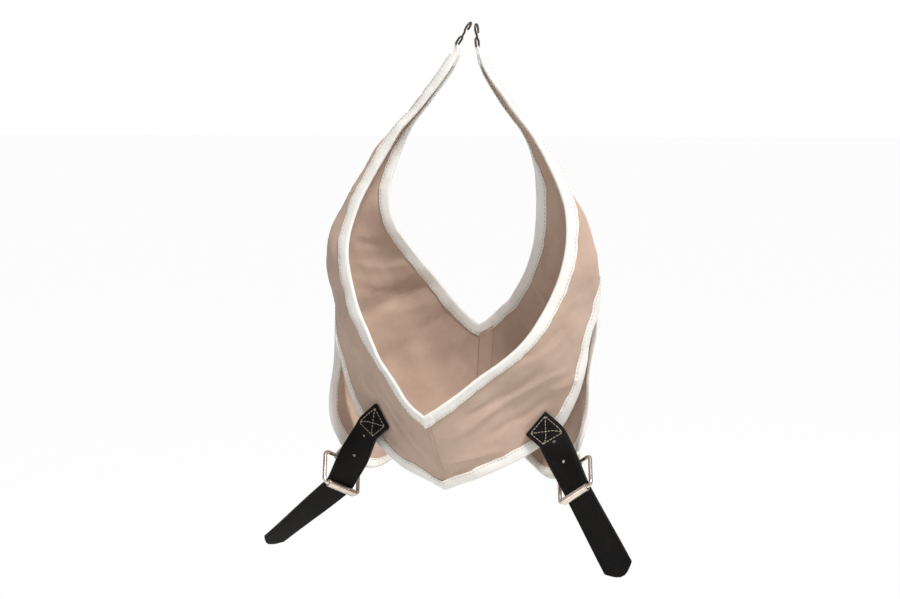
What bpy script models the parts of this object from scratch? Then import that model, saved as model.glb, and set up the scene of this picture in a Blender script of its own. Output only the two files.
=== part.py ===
"""Open canvas sling bag hung from two wire hooks.

Frame: millimetre figures below are scaled to metres. +Z up, the deep front
band faces -Y, +X is the wearer's right-hand side in that view. The origin is
the hang point, where the two hook crowns rest.
"""
import math
import bpy
import bmesh
import numpy as np
from mathutils import Vector, Matrix

for _o in list(bpy.data.objects):
    bpy.data.objects.remove(_o, do_unlink=True)

MM = 0.001

# ---------------------------------------------------------------- dimensions
CANVAS_T = 1.6          # doubled twill canvas
TAPE_T = 0.8            # binding tape, one ply
TAPE_W = 9.8            # visible width of the binding on each face
GAP = 0.3               # clearance between touching textile plies
EDGE_IN = 1.2           # canvas edge to binding fold
SEAM_GAP = 0.4          # gap between two sewn canvas pieces
STRAP_W = 26.0          # leather strap
STRAP_T = 2.6
HOOK_WIRE = 1.9         # hook wire diameter
EYE_W = 9.5             # hook eye, wire centre to wire centre
EYE_H = 6.5
CROWN_R = 4.6           # hook crown, centre line radius
LOOP_W = 6.0            # tape loop at the top of each arm
LOOP_T = 0.9
BUCKLE_WIRE = 3.4       # buckle frame wire diameter
BUCKLE_W = 35.5         # side bar to side bar, centre to centre
BUCKLE_H = 31.0         # tab bar to roller bar, centre to centre
ROLLER_D = 6.6
ROLLER_L = 27.0
PRONG_W = 3.0
PRONG_T = 1.8
PRONG_L = 32.0
TAB_W = 13.0            # webbing tab that holds the buckle
TAB_T = 0.9
HANG = (3.0, -13.0, 0.5)  # hang point in the guide figures below

# ------------------------------------------------------ shape guide stations
# Each station: half width x, depth y, height z, sideways lean (all mm).
# Mouth edge of the front band, hook end to the centre V.
FT = [(8, -19, -24, 0), (17, -23, -42, 0), (36, -26, -67, 0), (56, -30, -90, 0),
      (74, -34, -120, 0), (89, -41, -150, 0), (95.5, -51, -178, -1),
      (94, -59, -202, -1), (88, -66, -224, -1), (79, -73.5, -244, -1),
      (68, -83, -262, -1), (55, -94, -277.5, -2), (41, -105, -291, -4),
      (26, -114, -304, -6), (12, -120.5, -315, -7), (0, -124, -323, -7)]
# Outer fold of the arm, then the lower edge of the front band.
FO = [(13, -15, -24, -1), (24.2, -17.5, -42, -3.3), (41.9, -20, -67, -4.1),
      (60.8, -22, -90, -5.2), (83.0, -26, -120, -5.0), (101.2, -31, -150, -3.8),
      (114.5, -34, -180, -3), (119.5, -34, -208, -2), (118, -31, -238, 0),
      (113, -38, -262, 0), (109.5, -40.5, -288, 0), (102.5, -42, -315, 0),
      (89, -47, -342, 0), (68, -61, -360, 0), (38, -81, -375, 1),
      (0, -93, -389, 3)]
# Mouth edge of the rear band, hook end to its centre V.
RT = [(7, -12, -24, -1), (14, -13.5, -42, -3), (31, -15, -67, -4),
      (49.5, -14, -90, -3.5), (61.7, -16, -120, -4), (66, -20, -148, -5),
      (63, -17.5, -172, -3.5), (55.5, -8, -192, -1), (46, 2, -210, 1),
      (39, 8.5, -221.5, 1), (32.5, 13, -231, 1), (26, 16, -240, 1),
      (20, 17.5, -246, 0), (14, 18, -252, 0), (9, 18, -256.5, 0),
      (4.5, 18, -260, 0), (0, 18, -262.5, 0)]
# Outer fold of the arm, then the lower edge of the rear band with its lobe.
RO = FO[:9] + [(117.5, -32, -264, 0), (115, -42, -292, 0), (115, -52, -320, 0),
               (112, -56, -346, 0), (99, -53, -370, 0), (80, -45, -384, 0),
               (50, -28, -368, 0), (0, 1, -340, 0)]
# Fullness of the bands halfway between their edges.
FM = [(0, 0, 0)] * 9 + [(3, -3, 0), (2, -1, 0), (0, 2, 0), (-1, 7, 0),
                        (0, 7, 0), (0, 3, 0), (0, -3, -1)]
RM = [(0, 0, 0)] * 9 + [(4, 9, 0), (6, 12, 0), (8, 15, 0), (10, 18, 0),
                        (10, 18, -1), (8, 15, -3), (5, 10, -3), (0, 4, 0)]
JOIN = 8                # station where front and rear lower edges part
ARM_END = 4.8           # station of the seam between arm and bands
ARM_GAP = 0.028         # seam gap there, in stations


def spline(pts, t):
    """Uniform Catmull-Rom through pts at parameter t."""
    n = len(pts) - 1
    t = min(max(t, 0.0), float(n))
    i = min(int(t), n - 1)
    f = t - i
    p1, p2 = pts[i], pts[i + 1]
    p0 = pts[i - 1] if i > 0 else 2 * p1 - p2
    p3 = pts[i + 2] if i + 2 <= n else 2 * p2 - p1
    return 0.5 * ((2 * p1) + (p2 - p0) * f + (2 * p0 - 5 * p1 + 4 * p2 - p3) * f * f
                  + (3 * p1 - p0 - 3 * p2 + p3) * f ** 3)


def sided(rows, side):
    return [np.array([side * r[0] + r[3], r[1], r[2]], float) for r in rows]


class Band:
    """One half band: a parabola section between an inner and an outer edge."""

    def __init__(self, side, inner, outer, mid, other, n_last):
        self.side = side
        self.inner = sided(inner, side)
        self.outer = sided(outer, side)
        self.other = sided(other, side)
        self.mid = [np.array([side * m[0], m[1], m[2]], float) for m in mid]
        self.last = n_last

    def fold(self, t):
        """Weight of the smooth outer fold shared by both bands."""
        return 1.0 if t <= 6.5 else max(0.0, 1.0 - (t - 6.5) / 3.0)

    def ends(self, t):
        a, b = spline(self.inner, t), spline(self.outer, t)
        m = spline(self.mid, t)
        w = self.fold(t)
        if w > 0:
            c = spline(self.other, t)
            tau = c - a
            tau[2] *= 0.3
            tau /= np.linalg.norm(tau)
            length = np.linalg.norm(b - a)
            m = m + 0.85 * w * ((b - a) - length * tau) / 4.0
        return a, b, m

    def point(self, s, t):
        a, b, m = self.ends(t)
        return a + (b - a) * s + m * (4 * s * (1 - s))

    def length(self, t):
        a, b, m = self.ends(t)
        pts = [a + (b - a) * s + m * (4 * s * (1 - s)) for s in np.linspace(0, 1, 25)]
        return sum(np.linalg.norm(pts[i + 1] - pts[i]) for i in range(24))

    def s_at(self, u, t):
        """Fraction whose arc length from the inner edge is u."""
        a, b, m = self.ends(t)
        ss = np.linspace(0, 1, 25)
        pts = [a + (b - a) * s + m * (4 * s * (1 - s)) for s in ss]
        d = np.concatenate([[0], np.cumsum([np.linalg.norm(pts[i + 1] - pts[i])
                                            for i in range(24)])])
        return float(np.interp(u, d, ss))

    def normal(self, s, t):
        """Unit outward normal, mitred at the centre plane."""
        e = 0.02
        s0, s1 = max(0, s - e), min(1, s + e)
        t0, t1 = max(0, t - e), min(self.last, t + e)
        ds = self.point(s1, t) - self.point(s0, t)
        dt = self.point(s, t1) - self.point(s, t0)
        n = np.cross(ds, dt)
        n /= np.linalg.norm(n)
        return n

    def offset_vec(self, s, t, outward):
        n = self.normal(s, t) * outward
        if t >= self.last - 1e-6:
            n = np.array([0.0, n[1], n[2]])
            n /= max(0.35, n @ n)
        return n


def band_pair(side):
    front = Band(side, FT, FO, FM, RT[:len(FT)], len(FT) - 1)
    rear = Band(side, RT, RO, RM, FT + [FT[-1]], len(RT) - 1)
    return front, rear


BANDS = {-1: band_pair(-1), 1: band_pair(1)}


def out_sign(band, is_front):
    """Sign that turns the raw normal outward, away from the bag's inside."""
    t = 9.5
    n = band.normal(0.5, t)
    p = band.point(0.5, t)
    centre = np.array([0.0, -45.0, p[2]])
    return 1.0 if n @ (p - centre) > 0 else -1.0


SIGN = {(sd, k): out_sign(BANDS[sd][k], k == 0) for sd in (-1, 1) for k in (0, 1)}


# ------------------------------------------------------------- mesh helpers
def material(name, colour, rough, metal=0.0):
    m = bpy.data.materials.new(name)
    m.use_nodes = True
    b = m.node_tree.nodes["Principled BSDF"]
    b.inputs["Base Color"].default_value = (*colour, 1)
    b.inputs["Roughness"].default_value = rough
    b.inputs["Metallic"].default_value = metal
    return m


CANVAS = (0.50, 0.36, 0.27)
TAPE = (0.80, 0.78, 0.70)
LEATHER = (0.012, 0.012, 0.012)
NICKEL = (0.72, 0.66, 0.56)
STEEL = (0.10, 0.085, 0.06)


def add_mesh(name, verts, faces, mat, smooth=True, origin=None):
    """Object from millimetre vertices; origin in millimetres."""
    hang = np.array(HANG)
    o = np.array(origin, float) - hang if origin is not None else np.zeros(3)
    me = bpy.data.meshes.new(name)
    me.from_pydata([tuple((np.asarray(v, float) - hang - o) * MM) for v in verts],
                   [], faces)
    bm = bmesh.new()
    bm.from_mesh(me)
    bmesh.ops.triangulate(bm, faces=bm.faces[:], quad_method='FIXED')
    bmesh.ops.recalc_face_normals(bm, faces=bm.faces[:])
    if bm.calc_volume(signed=True) < 0:
        bmesh.ops.reverse_faces(bm, faces=bm.faces[:])
    bm.to_mesh(me)
    bm.free()
    ob = bpy.data.objects.new(name, me)
    bpy.context.scene.collection.objects.link(ob)
    ob.location = Vector(tuple(o * MM))
    me.materials.append(mat)
    if smooth:
        me.shade_smooth()
        me.set_sharp_from_angle(angle=math.radians(40))
    return ob


def split_quad(a, b, c, d, same):
    """Two triangles of a quad; the diagonal follows the surface parameters."""
    return [(a, b, c), (a, c, d)] if same else [(a, b, d), (b, c, d)]


def closed_strip(rings, tv, uv):
    """Tube from equal closed rings at parameters tv; uv orders the ring points."""
    n = len(rings[0])
    verts = [p for r in rings for p in r]
    faces = []
    for i in range(len(rings) - 1):
        a, b = i * n, (i + 1) * n
        for j in range(n):
            k = (j + 1) % n
            same = (tv[i] < tv[i + 1]) == (uv[j] < uv[k])
            faces += split_quad(a + j, a + k, b + k, b + j, same)
    return verts, faces


def slab(grid_top, grid_bot, turn=None):
    """Closed slab from two equal grids (rows x columns) of points.

    Columns from index turn on run against the surface parameter.
    """
    R, C = len(grid_top), len(grid_top[0])
    turn = C if turn is None else turn
    verts = [p for row in grid_top for p in row] + [p for row in grid_bot for p in row]
    off = R * C
    f = []
    for i in range(R - 1):
        for j in range(C - 1):
            a, b, c, d = i * C + j, i * C + j + 1, (i + 1) * C + j + 1, (i + 1) * C + j
            f += split_quad(a, b, c, d, j < turn)
            f += split_quad(off + a, off + b, off + c, off + d, j < turn)
    for j in range(C - 1):
        f.append((j, off + j, off + j + 1, j + 1))
        a, b = (R - 1) * C + j, (R - 1) * C + j + 1
        f.append((a, b, off + b, off + a))
    for i in range(R - 1):
        a, b = i * C, (i + 1) * C
        f.append((a, b, off + b, off + a))
        a, b = i * C + C - 1, (i + 1) * C + C - 1
        f.append((a, off + a, off + b, b))
    return verts, f


def stations(lo, hi, base):
    """Shared list of section positions between lo and hi, ends included."""
    seam = [ARM_END - ARM_GAP, ARM_END]
    mid = [t for t in base if lo + 0.15 < t < hi - 0.15]
    if lo < seam[0] - 0.1 and hi > ARM_END + 0.1:
        mid = sorted(mid + seam)
    return [lo] + mid + [hi]


ARM_TOP = 0.15          # station where the arms begin
BASE_T = [0.15] + [0.6 + 0.7 * i for i in range(6)] + [5.3 + 0.5 * i for i in range(24)]


def tape_width(band, t):
    return min(TAPE_W, 0.42 * band.length(t) + 0.6)


def surf(band, sign, s, t):
    return band.point(s, t), band.offset_vec(s, t, sign)


def panel(name, side, kind, t_lo, t_hi, n_mid, mat):
    band = BANDS[side][kind]
    sg = SIGN[(side, kind)]
    rows_top, rows_bot = [], []
    ts = stations(t_lo, t_hi, BASE_T)
    for i, t in enumerate(ts):
        hi_in = EDGE_IN
        if t <= JOIN + 0.2:
            n_f = BANDS[side][0].offset_vec(1.0, t, SIGN[(side, 0)])
            n_r = BANDS[side][1].offset_vec(1.0, t, SIGN[(side, 1)])
            ang = math.acos(max(-0.6, min(1.0, float(n_f @ n_r))))
            hi_in = SEAM_GAP / 2 + CANVAS_T / 2 * math.tan(ang / 2)
        L = band.length(t)
        w = tape_width(band, t)
        us = [EDGE_IN, w]
        b = L - w
        for k in range(1, n_mid):
            us.append(w + (b - w) * k / n_mid)
        us += [b, L - hi_in]
        top, bot = [], []
        for k, u in enumerate(us):
            s = band.s_at(u, t)
            p, n = surf(band, sg, s, t)
            if t >= band.last - 1e-6:
                p = p + np.array([side * SEAM_GAP / 2, 0, 0])
            top.append(p + n * CANVAS_T / 2)
            bot.append(p - n * CANVAS_T / 2)
        rows_top.append(top)
        rows_bot.append(bot)
    v, f = slab(rows_top, rows_bot)
    return add_mesh(name, v, f, mat)


def arm(name, side, mat):
    """Folded arm strip from the hook loop down to the seam."""
    fr, re = BANDS[side]
    t_top = ARM_TOP
    ts = stations(t_top, ARM_END - ARM_GAP, BASE_T)
    rows_top, rows_bot = [], []
    for i, t in enumerate(ts):
        top, bot = [], []
        for band, kind in ((fr, 0), (re, 1)):
            sg = SIGN[(side, kind)]
            L = band.length(t)
            w = tape_width(band, t)
            us = [EDGE_IN, w, (w + L) / 2, L]
            if kind == 1:
                us = us[:-1][::-1]
            for u in us:
                s = band.s_at(u, t)
                p = band.point(s, t)
                n = band.offset_vec(s, t, sg)
                if s > 0.999:
                    n2 = re.offset_vec(1.0, t, SIGN[(side, 1)])
                    n = n + n2
                    n /= np.linalg.norm(n)
                top.append(p + n * CANVAS_T / 2)
                bot.append(p - n * CANVAS_T / 2)
        rows_top.append(top)
        rows_bot.append(bot)
    v, f = slab(rows_top, rows_bot, turn=3)
    return add_mesh(name, v, f, mat)


def tape_ring(band, sg, t, at_outer, dx=0.0):
    """U section of the binding around the inner or outer edge at t."""
    L = band.length(t)
    w = tape_width(band, t)
    ho = CANVAS_T / 2 + GAP + TAPE_T
    hi = CANVAS_T / 2 + GAP
    prof = [(w, ho), (1.3, ho), (0.0, ho * 0.5), (0.0, -ho * 0.5), (1.3, -ho), (w, -ho),
            (w, -hi), (EDGE_IN - 0.35, -hi), (EDGE_IN - 0.35, hi), (w, hi)]
    ring = []
    for u, h in prof:
        uu = L - u if at_outer else u
        s = band.s_at(uu, t)
        p, n = surf(band, sg, s, t)
        # clearance is laid off at the canvas edge row and the tape line row
        ring.append(p + n * h + np.array([dx, 0, 0]))
    return ring


def binding(name, kind, at_outer, t_lo, mat):
    """Tape around one edge, left hook end to right hook end through the V."""
    rings = []
    last = BANDS[1][kind].last
    ts = stations(t_lo, last, BASE_T)
    for t in ts:
        rings.append(tape_ring(BANDS[-1][kind], SIGN[(-1, kind)], t, at_outer))
    for t in ts[::-1][1:]:
        rings.append(tape_ring(BANDS[1][kind], SIGN[(1, kind)], t, at_outer))
    uv = [9, 1.3, 0, 0, 1.3, 9, 9, 1, 1, 9]
    if at_outer:
        uv = [-u for u in uv]
    v, f = closed_strip(rings, ts + ts[::-1][1:], uv)
    n = len(rings[0])
    m = (len(rings) - 1) * n

    def cap(o, flip):
        # two flanges and the fold as quads
        q = [(0, 1, 8, 9), (1, 2, 3, 4), (1, 4, 7, 8), (4, 5, 6, 7)]
        return [tuple(o + k for k in (c[::-1] if flip else c)) for c in q]
    f += cap(0, True) + cap(m, False)
    return add_mesh(name, v, f, mat)


def tube(points, radius, sides=8, closed=False, up=None):
    """Round tube along a list of points."""
    pts = [np.asarray(p, float) for p in points]
    n = len(pts)
    tang = []
    for i in range(n):
        a = pts[i - 1] if (i > 0 or closed) else pts[i]
        b = pts[(i + 1) % n] if (i < n - 1 or closed) else pts[i]
        d = b - a
        tang.append(d / np.linalg.norm(d))
    ref = np.array(up if up is not None else (0, 0, 1), float)
    rings = []
    for i in range(n):
        t = tang[i]
        x = np.cross(ref, t)
        x /= np.linalg.norm(x)
        y = np.cross(t, x)
        rings.append([pts[i] + radius * (math.cos(2 * math.pi * k / sides) * x
                                         + math.sin(2 * math.pi * k / sides) * y)
                      for k in range(sides)])
    v = [p for r in rings for p in r]
    f = []
    m = n if closed else n - 1
    for i in range(m):
        a, b = i * sides, ((i + 1) % n) * sides
        for k in range(sides):
            l = (k + 1) % sides
            f.append((a + k, a + l, b + l, b + k))
    if not closed:
        f.append(tuple(range(sides))[::-1])
        f.append(tuple((n - 1) * sides + k for k in range(sides)))
    return v, f


def unit(v):
    v = np.asarray(v, float)
    return v / np.linalg.norm(v)


def round_path(corners, radii, steps):
    """Polyline with its inner corners rounded."""
    out = [np.asarray(corners[0], float)]
    for i in range(1, len(corners) - 1):
        p, a, b = (np.asarray(corners[k], float) for k in (i, i - 1, i + 1))
        u, v = unit(a - p), unit(b - p)
        ang = math.acos(max(-1, min(1, float(u @ v))))
        r = radii[i - 1]
        d = r / math.tan(ang / 2)
        c = p + unit(u + v) * r / math.sin(ang / 2)
        s0, s1 = p + u * d - c, p + v * d - c
        n = steps[i - 1]
        for k in range(n + 1):
            f = k / n
            w = math.pi - ang
            out.append(c + (math.sin((1 - f) * w) * s0 + math.sin(f * w) * s1) / math.sin(w))
    out.append(np.asarray(corners[-1], float))
    return out


def strip(name, pts, wdirs, half, thick, mat, cols=(-1, 1), slots=(), rounds=(),
          origin=None, smooth=True):
    """Flat strip along pts.

    half: half width per row. cols: column positions as fractions, or in
    millimetres from the centre when of size above 1. slots: rows whose centre
    cell is cut out. rounds: (row, radius) cells with a punched hole.
    """
    pts = [np.asarray(p, float) for p in pts]
    R, C = len(pts), len(cols)
    top, bot = [], []
    for i in range(R):
        t = unit(pts[min(i + 1, R - 1)] - pts[max(i - 1, 0)])
        w = np.asarray(wdirs[i], float)
        w = unit(w - (w @ t) * t)
        n = np.cross(t, w)
        k = 1.0
        if 0 < i < R - 1:
            a = unit(pts[i] - pts[i - 1])
            k = 1.0 / max(0.5, float(a @ t))
        row_t, row_b = [], []
        for c in cols:
            x = c * half[i] if abs(c) <= 1 else max(-half[i], min(half[i], c))
            row_t.append(pts[i] + w * x + n * thick / 2 * k)
            row_b.append(pts[i] + w * x - n * thick / 2 * k)
        top.append(row_t)
        bot.append(row_b)
    verts = [p for row in top for p in row] + [p for row in bot for p in row]
    off = R * C
    mid = C // 2 - 1
    cut = {(i, mid) for i in slots}
    punched = dict(rounds)
    f = []
    for i in range(R - 1):
        for j in range(C - 1):
            q = [i * C + j, i * C + j + 1, (i + 1) * C + j + 1, (i + 1) * C + j]
            if (i, j) in cut:
                continue
            if j == mid and i in punched:
                cen = sum(verts[k] for k in q) / 4
                ux, uy = unit(verts[q[1]] - verts[q[0]]), unit(verts[q[3]] - verts[q[0]])
                ring = []
                for lay in (0, off):
                    cc = sum(verts[k + lay] for k in q) / 4
                    base = len(verts)
                    for m in range(8):
                        g = math.pi * m / 4
                        verts.append(cc + punched[i] * (-math.cos(g) * uy - math.sin(g) * ux))
                    ring.append(base)
                # corners q0 (-x,-y) q1 (+x,-y) q2 (+x,+y) q3 (-x,+y)
                for lay, base in ((0, ring[0]), (off, ring[1])):
                    order = [q[0], q[3], q[2], q[1]]
                    for m in range(4):
                        k0 = (2 * m) % 8
                        cor = order[m]
                        f.append((cor + lay, base + k0, base + (k0 + 1) % 8))
                        f.append((cor + lay, base + (k0 + 1) % 8, base + (k0 + 2) % 8))
                        f.append((cor + lay, base + (k0 + 2) % 8, order[(m + 1) % 4] + lay))
                for m in range(8):
                    a, b = ring[0] + m, ring[0] + (m + 1) % 8
                    a2, b2 = ring[1] + m, ring[1] + (m + 1) % 8
                    f.append((a, b, b2, a2))
                continue
            f += split_quad(*q, True)
            f += split_quad(*[k + off for k in q], True)
    gone = cut

    def wall(a, b):
        f.append((a, b, b + off, a + off))
    for i in range(R - 1):
        for j in range(C):
            left = j > 0 and (i, j - 1) not in gone
            right = j < C - 1 and (i, j) not in gone
            if left != right:
                wall(i * C + j, (i + 1) * C + j)
    for j in range(C - 1):
        for i in range(R):
            up = i > 0 and (i - 1, j) not in gone
            dn = i < R - 1 and (i, j) not in gone
            if up != dn:
                wall(i * C + j, i * C + j + 1)
    return add_mesh(name, verts, f, mat, smooth=smooth, origin=origin)


def annulus(name, centre, axis, ref, r_out, r_in, length, sides, mat, origin=None):
    """Hollow cylinder."""
    a = unit(axis)
    x = unit(np.asarray(ref, float) - (np.asarray(ref, float) @ a) * a)
    y = np.cross(a, x)
    v, f = [], []
    for e, r in ((-1, r_out), (1, r_out), (1, r_in), (-1, r_in)):
        for k in range(sides):
            g = 2 * math.pi * k / sides
            v.append(np.asarray(centre, float) + a * e * length / 2
                     + r * (math.cos(g) * x + math.sin(g) * y))
    for i in range(4):
        a0, b0 = i * sides, ((i + 1) % 4) * sides
        for k in range(sides):
            l = (k + 1) % sides
            f.append((a0 + k, a0 + l, b0 + l, b0 + k))
    return add_mesh(name, v, f, mat, origin=origin)


def lerp(a, b, f):
    return np.asarray(a, float) * (1 - f) + np.asarray(b, float) * f


# ------------------------------------------------------------------- hooks
# Bottom wire of the eye, and the crown, for each side.
HOOKS = {-1: ((-10.9, -16.0, -17.5), (0.7, -13.6, 0.6)),
         1: ((7.2, -16.0, -20.2), (5.4, -12.4, -0.8))}


def hook_axes(side):
    e, k = (np.array(p) for p in HOOKS[side])
    a = unit(k - e)
    y = np.array([0.0, 1.0, 0.0])
    b = unit(y - (y @ a) * a)
    return e, k, a, b


def hook(name, side, mat):
    e, k, a, b = hook_axes(side)
    length = float(np.linalg.norm(k - e))
    h = EYE_W / 2
    c0 = length - CROWN_R
    r = HOOK_WIRE / 2
    # flat profile in (b, a): crown end, crown, shank, round the eye, back
    # to the shank foot
    prof = []
    for g in range(-30, 256, 26):
        an = math.radians(g)
        prof.append((CROWN_R * math.cos(an), c0 + CROWN_R * math.sin(an)))
    prof.append((0.0, c0 - CROWN_R - 0.4))
    foot = EYE_H
    loop = round_path([(0.0, 0.0), (h, 0.0), (h, foot), (1.2, foot + 1.2)],
                      [1.4, 2.0], [4, 3])
    half_eye = [(q[0], q[1]) for q in loop]
    pts2 = prof + [(0.0, foot + 3.0)]
    # eye: right branch down to the bottom, then the left branch up
    right = [q for q in half_eye[::-1]]
    left = [(-q[0], q[1]) for q in half_eye[1:]]
    gap = r + 0.25
    left = left[:-1] + [(-1.2 - gap, foot + 0.55)]
    pts2 = pts2 + right + left
    pts = [e + b * x + a * y for x, y in pts2]
    c = np.cross(a, b)
    v, f = tube(pts, r, sides=8, up=c)
    return add_mesh(name, v, f, mat, origin=e)


def arm_span(side, z, y0, half):
    """Least and greatest outward x of the arm and bindings near height z."""
    lo, hi = 1e9, -1e9
    for kind in (0, 1):
        band = BANDS[side][kind]
        sg = SIGN[(side, kind)]
        for t in np.linspace(ARM_TOP, 1.4, 27):
            for u in np.linspace(0.0, 1.0, 9):
                p = band.point(u, t)
                if abs(p[2] - z) > 3.0:
                    continue
                w = tape_width(band, t) / band.length(t)
                th = 1.9 if u <= w + 0.02 else 0.8
                for h in (-th, th):
                    q = p + band.offset_vec(u, t, sg) * h
                    if abs(q[1] - y0) < half + 0.6:
                        lo, hi = min(lo, side * q[0]), max(hi, side * q[0])
    return lo, hi


def hook_loop(name, side, mat):
    """Folded tape: round the eye wire, then down both faces of the arm."""
    e, k, a, b = hook_axes(side)
    rr = HOOK_WIRE / 2 + 0.35 + LOOP_T / 2
    y_end = e[1] - 0.8
    z1, z2 = -25.2, -31.0
    lo1, hi1 = arm_span(side, z1, y_end, LOOP_W / 2)
    lo2, hi2 = arm_span(side, z2, y_end, LOOP_W / 2)
    m = 0.35 + LOOP_T / 2
    outer = [np.array([side * (hi1 + m), y_end, z1]), np.array([side * (hi2 + m), y_end, z2])]
    inner = [np.array([side * (lo1 - m), y_end, z1]), np.array([side * (lo2 - m), y_end, z2])]
    down = unit((outer[0] + inner[0]) / 2 - e)
    side_v = unit(np.cross(b, down))
    if side_v[0] * side < 0:
        side_v = -side_v
    arc = []
    for g in range(-20, 201, 22):
        an = math.radians(g)
        arc.append(e + rr * (math.cos(an) * side_v - math.sin(an) * down))
    path = [outer[1], outer[0], lerp(arc[0], outer[0], 0.5)] + arc \
        + [lerp(arc[-1], inner[0], 0.5), inner[0], inner[1]]
    yy = np.array([0.0, 1.0, 0.0])
    wd = [yy, yy, lerp(b, yy, 0.5)] + [b] * len(arc) + [lerp(b, yy, 0.5), yy, yy]
    return strip(name, path, wd, [LOOP_W / 2] * len(path), LOOP_T, mat)


# ----------------------------------------------------------------- buckles
BUCKLES = {-1: ((-101.2, -63.1, -386.8), (-0.611, -0.660, 0.438), (0.211, -0.669, -0.713)),
           1: ((108.3, -71.8, -378.6), (0.787, -0.252, 0.563), (0.205, -0.754, -0.624))}


class Buckle:
    """Axes of one buckle: e outward, h tab bar to roller, n out of the frame."""

    def __init__(self, side):
        c, ex, h = BUCKLES[side]
        self.side = side
        self.c = np.array(c)
        self.e = unit(ex)
        h = np.array(h, float)
        self.h = unit(h - (h @ self.e) * self.e)
        self.n = np.cross(self.e, self.h) * (-side)
        self.bar = self.c - self.h * BUCKLE_H / 2
        self.roll = self.c + self.h * BUCKLE_H / 2

    def at(self, h, n, e=0.0):
        return self.c + self.h * h + self.n * n + self.e * e


BK = {-1: Buckle(-1), 1: Buckle(1)}


def buckle_frame(name, side, mat):
    k = BK[side]
    w, h, r = BUCKLE_W / 2, BUCKLE_H / 2, 3.8
    pts = []
    for cx, cy, g0 in ((w - r, h - r, 0), (-(w - r), h - r, 90),
                       (-(w - r), -(h - r), 180), (w - r, -(h - r), 270)):
        for g in (0, 22.5, 45, 67.5, 90):
            an = math.radians(g0 + g)
            pts.append(k.at(cy + r * math.sin(an), 0.0, cx + r * math.cos(an)))
    v, f = tube(pts, BUCKLE_WIRE / 2, sides=12, closed=True, up=k.n)
    return add_mesh(name, v, f, mat, origin=k.bar)


def prong(name, side, mat):
    """Tongue looped round the tab bar, lying behind the strap."""
    k = BK[side]
    r = BUCKLE_WIRE / 2 + 0.12 + PRONG_T / 2
    path = []
    for g in range(60, 261, 20):
        an = math.radians(g)
        path.append((r * math.cos(an), r * math.sin(an)))
    path += [(1.2, -r - 0.6), (4.0, -r - 2.4), (12.0, -r - 7.6),
             (PRONG_L - 8.0, -r - 12.4), (PRONG_L - 5.0, -r - 14.4)]
    pts = [k.at(q[0] - BUCKLE_H / 2, q[1]) for q in path]
    half = [PRONG_W / 2] * (len(pts) - 2) + [PRONG_W / 2 * 0.85, PRONG_W / 2 * 0.45]
    return strip(name, pts, [k.e] * len(pts), half, PRONG_T, mat, origin=k.bar)


# ------------------------------------------------------------------ straps
# Sewn end and patch bend of each strap (centre line), and its width axis.
PATCH = {-1: ((-59.4, -74.5, -332.6), (-73.2, -72.5, -344.2)),
         1: ((71.8, -62.6, -334.3), (85.7, -60.6, -345.9))}
PATCH_W = (0.674, 0.37, 0.648)      # outward, back, up
ROLL_OFF = 5.1          # roller axis to strap centre line
PAST_ROLLER = 8.0       # length of the sewn strap beyond the roller
HOLE_D = 4.2            # punched hole
HOLES = {-1: (8.0, 28.5), 1: (4.0, 23.0)}   # past the patch bend
TIP = {-1: (-170.5, -62.0, -454.2), 1: (150.5, -78.0, -455.6)}
TIP_W = {-1: (-0.445, -0.866, 0.236), 1: (0.95, 0.0, 0.25)}
POINT_L = 9.0           # length of the pointed end


def strap_line(side):
    """Centre line corners: sewn end, patch bend, behind the roller, tip."""
    k = BK[side]
    p0, p1 = (np.array(p) for p in PATCH[side])
    w0 = np.array([side * PATCH_W[0], PATCH_W[1], PATCH_W[2]])
    tip = np.array(TIP[side])
    go = tip - p1
    m = np.cross(k.e, go - (go @ k.e) * k.e)
    m = unit(m if m @ k.n > 0 else -m)
    q = k.roll - m * ROLL_OFF
    return p0, p1, q, tip, w0


def line(a, b, n):
    """n points from a to b, ends left out."""
    return [lerp(a, b, (i + 1) / (n + 1)) for i in range(n)]


def blend_dirs(pts, keys):
    """Width axis per point from (arc length, axis) keys."""
    d = [0.0]
    for i in range(1, len(pts)):
        d.append(d[-1] + float(np.linalg.norm(pts[i] - pts[i - 1])))
    out = []
    for x in d:
        j = 0
        while j < len(keys) - 2 and x > keys[j + 1][0]:
            j += 1
        (x0, w0), (x1, w1) = keys[j], keys[j + 1]
        f = min(1.0, max(0.0, (x - x0) / (x1 - x0)))
        out.append(unit(lerp(w0, w1, f * f * (3 - 2 * f))))
    return out


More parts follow.
